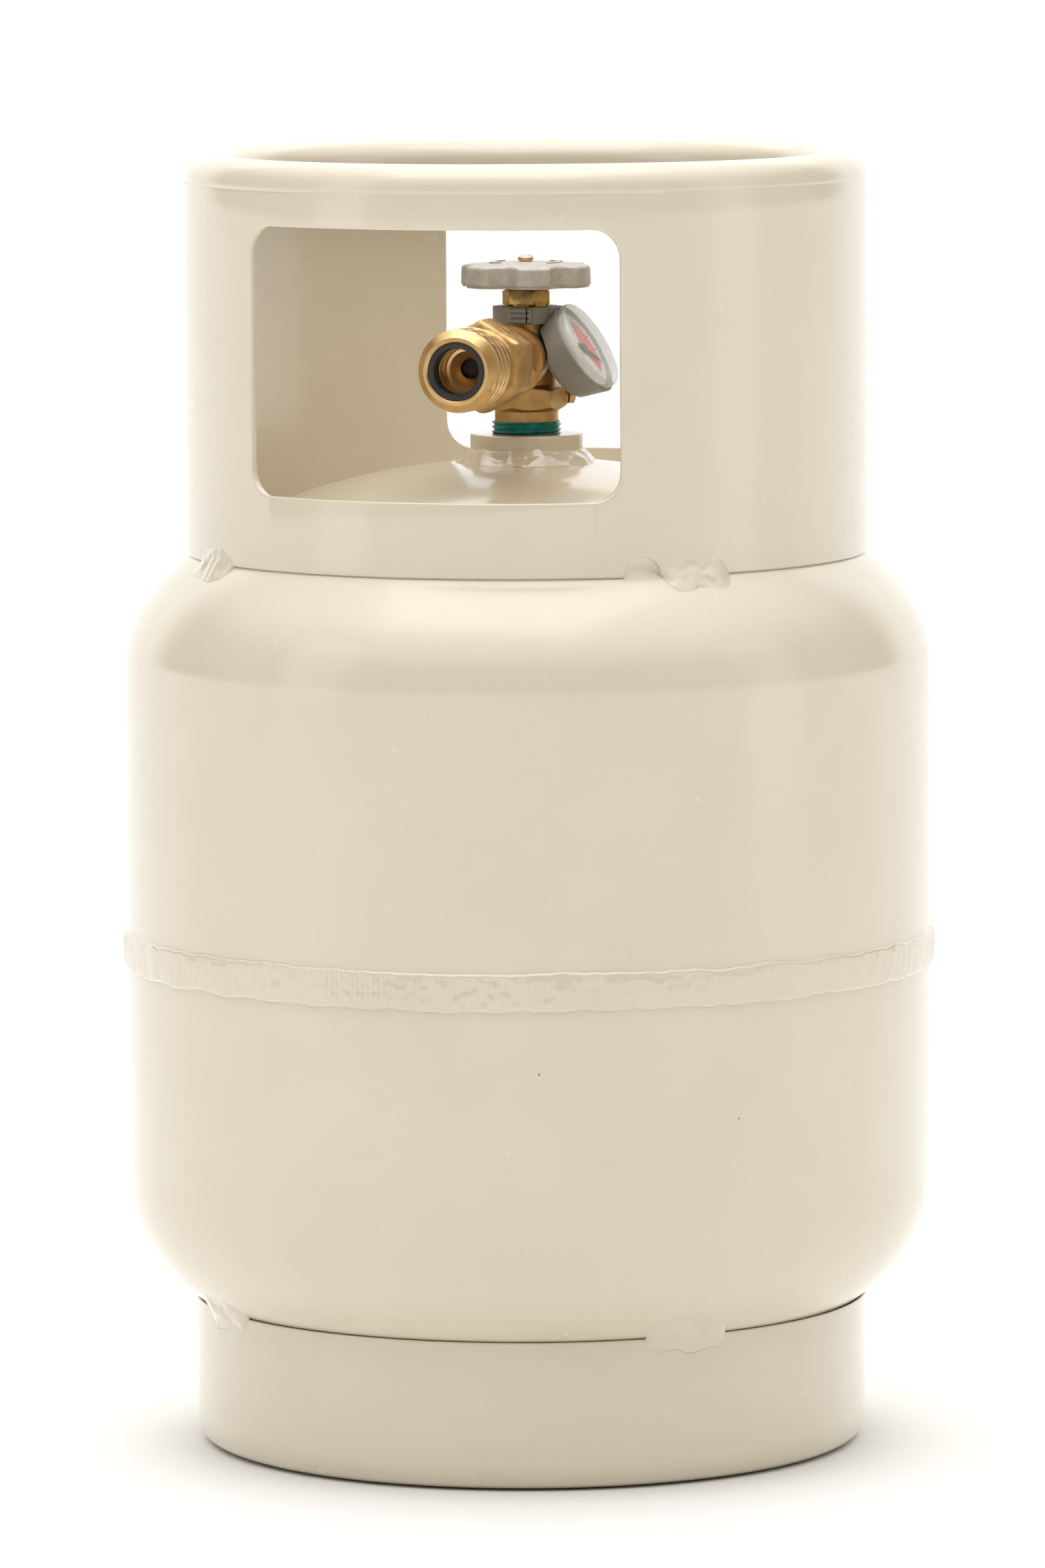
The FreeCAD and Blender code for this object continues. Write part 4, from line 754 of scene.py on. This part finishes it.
def make_foot():
    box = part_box("foot_ring")
    outer, top = box[1].x, box[1].z
    sheet, bend, flange = 3.0 * MM, 9.0 * MM, 110.0 * MM
    profile = [(flange, 0), (outer, 0), (outer, top), (outer - sheet, top - 1.3 * MM),
               (outer - sheet, sheet), (flange, sheet)]
    profile = rounded(profile, [0.7 * MM, bend, 0.6 * MM, 0.6 * MM, bend - sheet, 0.7 * MM], 12)
    profile = densified(profile, 5 * MM)

    def shift(r, z, angle):
        lean = 0.9 * MM * (1 - z / top) if r > 0.12 else 0
        return r - lean + wobble(angle, z, 10, 8.0, RING_NOISE_R) * 0.15 * MM * (z / top), z

    mesh = turned_mesh("foot_skirt", profile, 360, shift)
    new_piece("foot_skirt", mesh, "tank", "paint", ("foot_ring",))


def seam_rows(middle, span, radius, side, seed, full):
    """One short hand weld in the corner between a ring and the vessel, feathered into both of them.
    full says how far its face bulges: 0 is flat on the corner, and 1 is square."""
    sections, around = 90, 18
    rows = []
    edge = surface_z(radius, side)

    def rough(angle, z, scale, at):
        return wobble(angle, z, scale, at, RING_NOISE_R)

    for i in range(sections + 1):
        s = i / sections
        angle = math.radians(middle + (s - 0.5) * span)
        taper = max(0.0, 1 - abs(2 * s - 1) ** 4) ** 0.6 + 0.02
        up = (6.4 + 2.2 * rough(angle, 0, 120, seed) + 0.4 * rough(angle, 0, 420, seed)) * MM * taper
        out = (6.6 + 2.4 * rough(angle, 0, 100, seed + 4) + 0.4 * rough(angle, 0, 380, seed)) * MM
        out *= taper
        start = Vector((radius - 0.15 * MM, edge + side * (up + 0.8 * MM)))
        end = Vector((radius + out, surface_z(radius + out, side) - side * 0.15 * MM))
        corner = Vector((radius + out * full, surface_z(radius + out * full, side) + side * up * full))
        row = []
        for k in range(around + 1):
            t = k / around
            point = start * (1 - t) ** 2 + corner * 2 * t * (1 - t) + end * t ** 2
            swell = math.sin(math.pi * t) ** 0.7 * taper
            lump = 0.45 * rough(angle, t * 0.012, 230, seed) + 0.08 * rough(angle, t * 0.012, 600, seed)
            point += Vector((1, side)).normalized() * lump * MM * swell
            row.append(bearing(angle, point.x, point.y))
        for r in (radius + out * 0.6, radius + 0.2 * MM, radius - 1.2 * MM):
            row.append(bearing(angle, r, surface_z(min(r, VESSEL_R - 1 * MM), side) - side * 0.5 * MM))
        row.append(bearing(angle, radius - 1.2 * MM, edge + side * up * 0.8))
        rows.append(row)
    return rows


def make_seams(name, node, middles, span, radius, side, full):
    """Hand welds with their middles at bearings, each a span wide, both in degrees."""
    mesh = bpy.data.meshes.new(name)
    sheet = bmesh.new()
    for seed, middle in enumerate(middles):
        rows = seam_rows(middle, span, radius, side, 3.0 + 7 * seed, full)
        strips = [[sheet.verts.new(p) for p in row] for row in rows]
        for a, b in zip(strips, strips[1:]):
            for k in range(len(a)):
                k2 = (k + 1) % len(a)
                sheet.faces.new((a[k], a[k2], b[k2], b[k]))
        sheet.faces.new(strips[0])
        sheet.faces.new(strips[-1][::-1])
    bmesh.ops.recalc_face_normals(sheet, faces=sheet.faces)
    sheet.to_mesh(mesh)
    sheet.free()
    new_piece(name, mesh, "tank", "paint_wet", (node,))


# ------------------------------------------------------------------ valve

OUTLET_Z = 415.0 * MM
ACME_R = 15.6 * MM
ACME_PITCH = 4.233 * MM
FACE = -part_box("outlet_connector")[0].y
CONNECTOR_BACK = 16.52 * MM          # from the valve's axis, as FACE is


def along_outlet(mesh):
    """Turns a mesh built about +Z onto the outlet's axis."""
    mesh.transform(Matrix.Translation((0, 0, OUTLET_Z)) @ Matrix.Rotation(math.pi / 2, 4, "X"))
    fix_normals(mesh)
    return mesh


def hex_radius(angle, flats, corner_round):
    """Radius of a hexagon with rounded corners, its corners at 0, 60 and so on."""
    local = (angle + math.pi / 6) % (math.pi / 3) - math.pi / 6
    flat = flats / 2 / math.cos(math.pi / 6 - abs(local))
    return min(flat, flats / 2 + corner_round)


def acme_radius(along, angle, front, back):
    """Outside of the threaded end: a trapezoid thread of one start, cut away at both ends."""
    depth = 1.55 * MM
    phase = ((along - front) / ACME_PITCH + angle / TAU) % 1.0
    flank, crest = 0.12, 0.40
    if phase < crest:
        cut = 0.0
    elif phase < crest + flank:
        cut = (phase - crest) / flank
    elif phase < 1 - flank:
        cut = 1.0
    else:
        cut = (1 - phase) / flank
    lead_in = min(1.0, max(0.0, (front - along) / (0.9 * ACME_PITCH)))
    run_out = min(1.0, max(0.0, (along - back) / (2 * MM)))
    fade = lead_in * run_out
    return ACME_R - depth * cut * fade


def outlet_radius(along, angle):
    """Outside radius of the connector at a distance from the valve's axis."""
    thread_front, thread_back = FACE - 2.9 * MM, 66.0 * MM
    hex_front, hex_back = 56.5 * MM, 36.5 * MM
    if along > thread_front:
        share = (along - thread_front) / (FACE - thread_front)
        chamfer = ACME_R - 2.9 * MM * share
        notch = 0.5 * MM if abs((angle - 4.2) % TAU) < 0.25 and share < 0.6 else 0
        return chamfer - notch
    if along > thread_back:
        return acme_radius(along, angle, thread_front, thread_back)
    if along > hex_front:
        share = min(1.0, (along - hex_front) / (1.5 * MM))
        return 13.7 * MM * share + 14.6 * MM * (1 - share)
    if along > hex_back:
        flats = 31.0 * MM
        hexed = hex_radius(angle, flats, 2.1 * MM)
        front = math.sqrt(max(0.0, 1 - max(0.0, (along - hex_front + 2.2 * MM) / (2.2 * MM)) ** 2))
        back = math.sqrt(max(0.0, 1 - max(0.0, (hex_back + 9 * MM - along) / (9 * MM)) ** 2.4))
        core = 13.2 * MM
        skin = wobble(angle, along, 420, 3.0, 0.015) * 0.12 * MM
        return core + (hexed - core + skin) * min(front, 0.35 + 0.65 * back)
    disc_front = 20.0 * MM
    if along > disc_front:
        share = (along - disc_front) / (hex_back - disc_front)
        return (12.0 + 1.0 * share ** 3) * MM
    return 13.2 * MM


def make_outlet():
    """The connector: a helical thread, a forged hexagon and a turned shank, with a stepped bore."""
    segments = 220
    stations = []
    along = CONNECTOR_BACK
    lip = FACE - 0.02 * MM
    while along < lip:
        stations.append(along)
        along += 0.22 * MM if along > 60 * MM else 0.35 * MM
    stations += [19.9 * MM, 20.1 * MM, 16.7 * MM, lip]
    stations.sort()

    def ring(radius_at, station):
        row = []
        for k in range(segments):
            angle = TAU * k / segments
            place = angle + math.pi / 2
            radius = radius_at(angle)
            row.append(Vector((radius * math.cos(place), radius * math.sin(place), station)))
        return row

    rows = [ring(lambda angle: outlet_radius(station, angle), station) for station in stations]
    # Radius and distance from the valve's axis, in millimetres, from the mouth to the back.
    bore = [(12.4, 84.5), (11.6, 84.5), (11.1, 84.1), (11.03, 77.9), (8.6, 77.8), (8.4, 77.6),
            (8.4, 71.2), (8.1, 70.8), (6.9, 70.6), (6.8, 70.5), (3.7, 67.6), (3.6, 67.4), (3.6, 64.1),
            (3.8, 64.0), (6.3, 64.0), (6.4, 63.9), (6.4, 42.1), (4.6, 42.0), (4.5, 41.9), (4.5, 10.6),
            (8.4, 10.5), (8.5, 10.7), (8.5, 16.5), (12.9, 16.5)]
    rows += [ring(lambda angle: r * MM, z * MM) for r, z in bore]
    mesh = along_outlet(ring_mesh("outlet_fitting", rows))
    new_piece("outlet_fitting", mesh, "tank", "turned", ("outlet_connector",))
    mesh.materials.append(MATERIALS["forged"])
    for polygon in mesh.polygons:
        distance = -polygon.center.y
        radius = math.hypot(polygon.center.x, polygon.center.z - OUTLET_Z)
        if 37 * MM < distance < 62 * MM and radius > 12.6 * MM:
            polygon.material_index = 1
    sharpen(mesh, 30)


def make_seal():
    front, back = FACE - 0.4 * MM, FACE - 6.7 * MM
    profile = rounded([(8.7 * MM, back), (11.0 * MM, back), (11.0 * MM, front), (8.7 * MM, front)],
                      [0.2 * MM, 0.2 * MM, 0.5 * MM, 0.9 * MM], 6)
    mesh = along_outlet(turned_mesh("mouth_ring", densified(profile, 0.8 * MM), 160))
    new_piece("mouth_ring", mesh, "tank", "rubber", ("outlet_seal",))


def pipe_thread_shift(r, z, angle):
    """A 60 degree pipe thread on the outside of a sleeve."""
    if r < 12.6 * MM:
        return r, z
    pitch, depth = 1.814 * MM, 1.05 * MM      # 14 threads to the inch
    phase = (z / pitch - angle / TAU) % 1.0
    tooth = abs(phase - 0.5) * 2
    clotted = 0.10 * MM * wobble(angle, z, 900, 2.0, 0.013)
    return r - depth * min(0.92, tooth * 1.05) + 0.25 * MM + clotted, z


def make_sealant():
    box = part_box("thread_sealant")
    low, high = box[0].z, box[1].z + 0.25 * MM
    steps = 64
    outer = [(13.05 * MM, low + (high - low) * k / steps) for k in range(steps + 1)]
    profile = [(12.25 * MM, low)] + outer + [(12.25 * MM, high)]
    mesh = turned_mesh("sealed_thread", profile, 240, pipe_thread_shift)
    new_piece("sealed_thread", mesh, "tank", "sealant", ("thread_sealant",))


WHEEL_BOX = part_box("handwheel")
WHEEL_R = 24.9 * MM


def wheel_radius(angle):
    """Outline of the handwheel: six wide lobes with a hollow between each two."""
    local = abs(math.remainder(math.degrees(angle) - 25.8, 60))
    hollow = (20.6 + 3.9 * ((30 - local) / 14.5) ** 2) * MM
    blend = 0.5 * MM
    gap = WHEEL_R - hollow
    return (WHEEL_R + hollow - math.sqrt(gap * gap + blend * blend)) / 2 + blend * 0.1


def raised_marks():
    """Two curved arrows on the handwheel's top, as outlines of angle and radius in millimetres."""
    inner, outer, barb = 11.6, 13.4, 1.8
    sweep, head, steps = math.radians(70), math.radians(14), 14
    marks = []
    for start in (math.radians(60), math.radians(240)):
        loop = [(start + sweep * k / steps, outer) for k in range(steps + 1)]
        tip = start + sweep
        loop += [(tip, outer + barb), (tip + head, (inner + outer) / 2), (tip, inner - barb)]
        loop += [(start + sweep * k / steps, inner) for k in range(steps, -1, -1)]
        marks.append(loop)
    return marks


def wheel_top(radius):
    """Height of the handwheel's crowned top at a radius."""
    return WHEEL_BOX[1].z - 0.2 * MM - 1.4 * MM * (radius / WHEEL_R) ** 2


def make_handwheel():
    """Rows of points from the bore over the top, down the rim and through the hollow underside."""
    segments = 360
    low, edge_round = WHEEL_BOX[0].z, 1.6 * MM
    bore, hub = 2.34 * MM, 7.4 * MM
    rows = []

    def row(radius_of, z_of):
        rows.append([bearing(TAU * k / segments, radius_of(TAU * k / segments), z_of(TAU * k / segments))
                     for k in range(segments)])

    row(lambda a: bore, lambda a: low + 0.4 * MM)
    row(lambda a: bore, lambda a: wheel_top(bore) - 0.2 * MM)
    for k in range(30):
        share = (k + 0.5) / 30
        row(lambda a: bore + (wheel_radius(a) - edge_round - bore) * share,
            lambda a: wheel_top(bore + (wheel_radius(a) - edge_round - bore) * share))
    for k in range(11):
        t = math.pi / 2 * k / 10
        row(lambda a: wheel_radius(a) - edge_round + edge_round * math.sin(t),
            lambda a: wheel_top(wheel_radius(a) - edge_round) - edge_round * (1 - math.cos(t)))
    for share in (0.12, 0.4, 0.7, 0.82):
        row(lambda a: wheel_radius(a) + 0.25 * MM * share,
            lambda a: low + (wheel_top(wheel_radius(a) - edge_round) - edge_round - low) * (1 - share))
    rim_steps = ((0.1, 1.05), (-0.25, 0.9), (-0.35, 0.15), (-0.6, 0.0), (-2.0, 0.0), (-2.4, 0.3),
                 (-2.9, 4.4), (-3.6, 5.0))
    for reach, height in rim_steps:
        row(lambda a: wheel_radius(a) + reach * MM, lambda a: low + height * MM)
    for reach, height in ((0.6, 5.0), (0.0, 4.4), (0.0, 0.3), (-0.3, 0.0)):
        row(lambda a: hub + reach * MM, lambda a: low + height * MM)
    row(lambda a: bore + 0.3 * MM, lambda a: low)
    mesh = ring_mesh("valve_handwheel", rows)
    new_piece("valve_handwheel", mesh, "handwheel", "wheel", ("handwheel",))
    sharpen(mesh, 50)
    make_wheel_marks()


def make_wheel_marks():
    mesh = bpy.data.meshes.new("turn_arrows")
    sheet = bmesh.new()
    proud = 0.45 * MM
    for loop in raised_marks():
        top, base = [], []
        for angle, radius in loop:
            r = radius * MM
            top.append(sheet.verts.new(bearing(angle, r, wheel_top(r) + proud)))
            base.append(sheet.verts.new(bearing(angle, r, wheel_top(r) - 0.3 * MM)))
        sheet.faces.new(top)
        sheet.faces.new(base[::-1])
        for k in range(len(top)):
            k2 = (k + 1) % len(top)
            sheet.faces.new((top[k], top[k2], base[k2], base[k]))
    bmesh.ops.triangulate(sheet, faces=[f for f in sheet.faces if len(f.verts) > 4])
    bmesh.ops.recalc_face_normals(sheet, faces=sheet.faces)
    sheet.to_mesh(mesh)
    sheet.free()
    new_piece("turn_arrows", mesh, "handwheel", "wheel")
    sharpen(mesh, 30)


# ------------------------------------------------------------------ gauge

DIAL_FACE = 11.4 * MM


def gauge_matrix():
    """Maps a point built about +Z, with +X towards the dial's top, onto the gauge."""
    joint = next(j for j in frame["joints"] if j["name"] == "gauge_needle_turn")
    axis = Vector(joint["axis"]).normalized()
    side = Vector((0, 1, 0))
    top = side.cross(axis)
    if top.z < 0:
        top = -top
    side = axis.cross(top)
    turn = Matrix((top, side, axis)).transposed().to_4x4()
    return Matrix.Translation(joint["pos_m"]) @ turn


def on_gauge(mesh):
    mesh.transform(gauge_matrix())
    fix_normals(mesh)
    return mesh


def make_lens():
    """The clear cap: a thick rounded edge and a low dome."""
    low, edge, top, crown = 9.95 * MM, 14.4 * MM, 16.2 * MM, 17.4 * MM
    radius, wall = 17.85 * MM, 1.4 * MM
    shoulder, middle = 1.9 * MM, 1e-6
    flat = radius - shoulder

    def dome(k):
        return top + (crown - top) * math.sin(math.pi / 2 * k / 10)

    outer = [(radius, low), (radius, edge)]
    outer += [(radius - shoulder * (1 - math.cos(a)), edge + 1.8 * MM * math.sin(a))
              for a in (math.radians(t) for t in (15, 30, 45, 60, 75, 90))]
    outer += [(flat * (1 - k / 10), dome(k)) for k in range(1, 10)] + [(middle, crown)]
    inner = [(flat * (1 - k / 10) * 0.95 + middle, dome(k) - wall) for k in range(10, -1, -1)]
    inner += [(radius - wall - 0.4 * MM, edge - 0.6 * MM), (radius - wall, edge - 1.6 * MM),
              (radius - wall, low)]
    mesh = on_gauge(turned_mesh("gauge_window", outer + inner, 160))
    new_piece("gauge_window", mesh, "tank", "lens", ("gauge_lens",))
    mesh.materials.append(MATERIALS["lens_rim"])
    centre = gauge_matrix().translation
    axis = (gauge_matrix().to_3x3() @ Vector((0, 0, 1))).normalized()
    rim_from = 17.1 * MM
    for polygon in mesh.polygons:
        reach = polygon.center - centre
        if (reach - axis * reach.dot(axis)).length > rim_from:
            polygon.material_index = 1


def arc_band(sheet, start, end, inner, outer, level):
    """A flat band on the dial between two angles from its top and two radii."""
    steps = max(2, int(abs(end - start) / 4))
    previous = None
    for k in range(steps + 1):
        angle = math.radians(start + (end - start) * k / steps)
        pair = [sheet.verts.new((r * MM * math.cos(angle), r * MM * math.sin(angle), level))
                for r in (inner, outer)]
        if previous:
            sheet.faces.new((previous[0], previous[1], pair[1], pair[0]))
        previous = pair


def print_piece(name, material, bands):
    """Ink on the dial: bands of (start, end, inner radius, outer radius)."""
    ink = 0.03 * MM
    mesh = bpy.data.meshes.new(name)
    sheet = bmesh.new()
    for start, end, inner, outer in bands:
        arc_band(sheet, start, end, inner, outer, DIAL_FACE + ink)
    bmesh.ops.solidify(sheet, geom=sheet.faces[:], thickness=ink)
    sheet.to_mesh(mesh)
    sheet.free()
    new_piece(name, on_gauge(mesh), "tank", material)
    for polygon in mesh.polygons:
        polygon.use_smooth = False


def make_dial_print():
    """A level scale that runs anticlockwise from empty, with red, yellow and green ranges."""
    print_piece("dial_red", "red", [(-150, -14, 2.4, 12.6)])
    print_piece("dial_yellow", "yellow", [(2, 34, 12.4, 13.5)])
    print_piece("dial_green", "green", [(37, 104, 12.4, 13.5)])
    ticks = [(a - 1.1, a + 1.1, 12.2, 14.6) for a in range(-120, 106, 25)]
    ticks += [(a - 0.5, a + 0.5, 13.6, 14.6) for a in range(-115, 106, 5)]
    print_piece("dial_ticks", "ink", ticks)


# ------------------------------------------------------------------ the whole object

def finish_cad_nodes():
    """Gives each CAD node that stays its own material."""
    by_node = {
        "copper": ["handwheel_screw"],
        "turned": ["upper_spindle", "lower_spindle", "outlet_guide", "relief_plug", "relief_poppet",
                   "bleed_screw"],
        "rubber": ["seat_disc", "relief_seal", "stem_orings", "bleed_gasket", "outlet_poppet"],
        "steel": ["outlet_spring", "relief_spring", "float_pin", "gauge_shaft", "drive_magnet"],
        "tube": ["dip_tube", "float_arm"],
        "white": ["opd_housing", "opd_piston"],
        "foam": ["float"],
        "dial": ["gauge_dial"],
        "ink": ["gauge_needle", "gauge_arbor"],
    }
    for material, names in by_node.items():
        for name in names:
            mesh = NODES[name].data
            mesh.materials.clear()
            mesh.materials.append(MATERIALS[material])


make_camera()
make_display()
make_world()
make_floor()
make_lights()
MATERIALS = make_materials()
make_shells()
make_girth_weld()
make_neck()
make_neck_weld()
make_collar()
make_foot()
make_seams("collar_tacks", "collar_welds", COLLAR_WELDS, 12.5, COLLAR_R, 1, 0.36)
make_seams("foot_tacks", "foot_ring_welds", FOOT_WELDS, 15.0, FOOT_R, -1, 0.22)
softened("valve_casting", "valve_body", 0.28 * MM, 3, "tank", "forged")
softened("gauge_case", "gauge_housing", 0.3 * MM, 2, "tank", "grey")
softened("gauge_strap", "gauge_clamp", 0.2 * MM, 2, "tank", "grey")
bevelled("bonnet", "bonnet_nut", 0.25 * MM, "tank", "stained")
make_outlet()
make_seal()
make_sealant()
make_handwheel()
make_lens()
make_dial_print()
finish_cad_nodes()
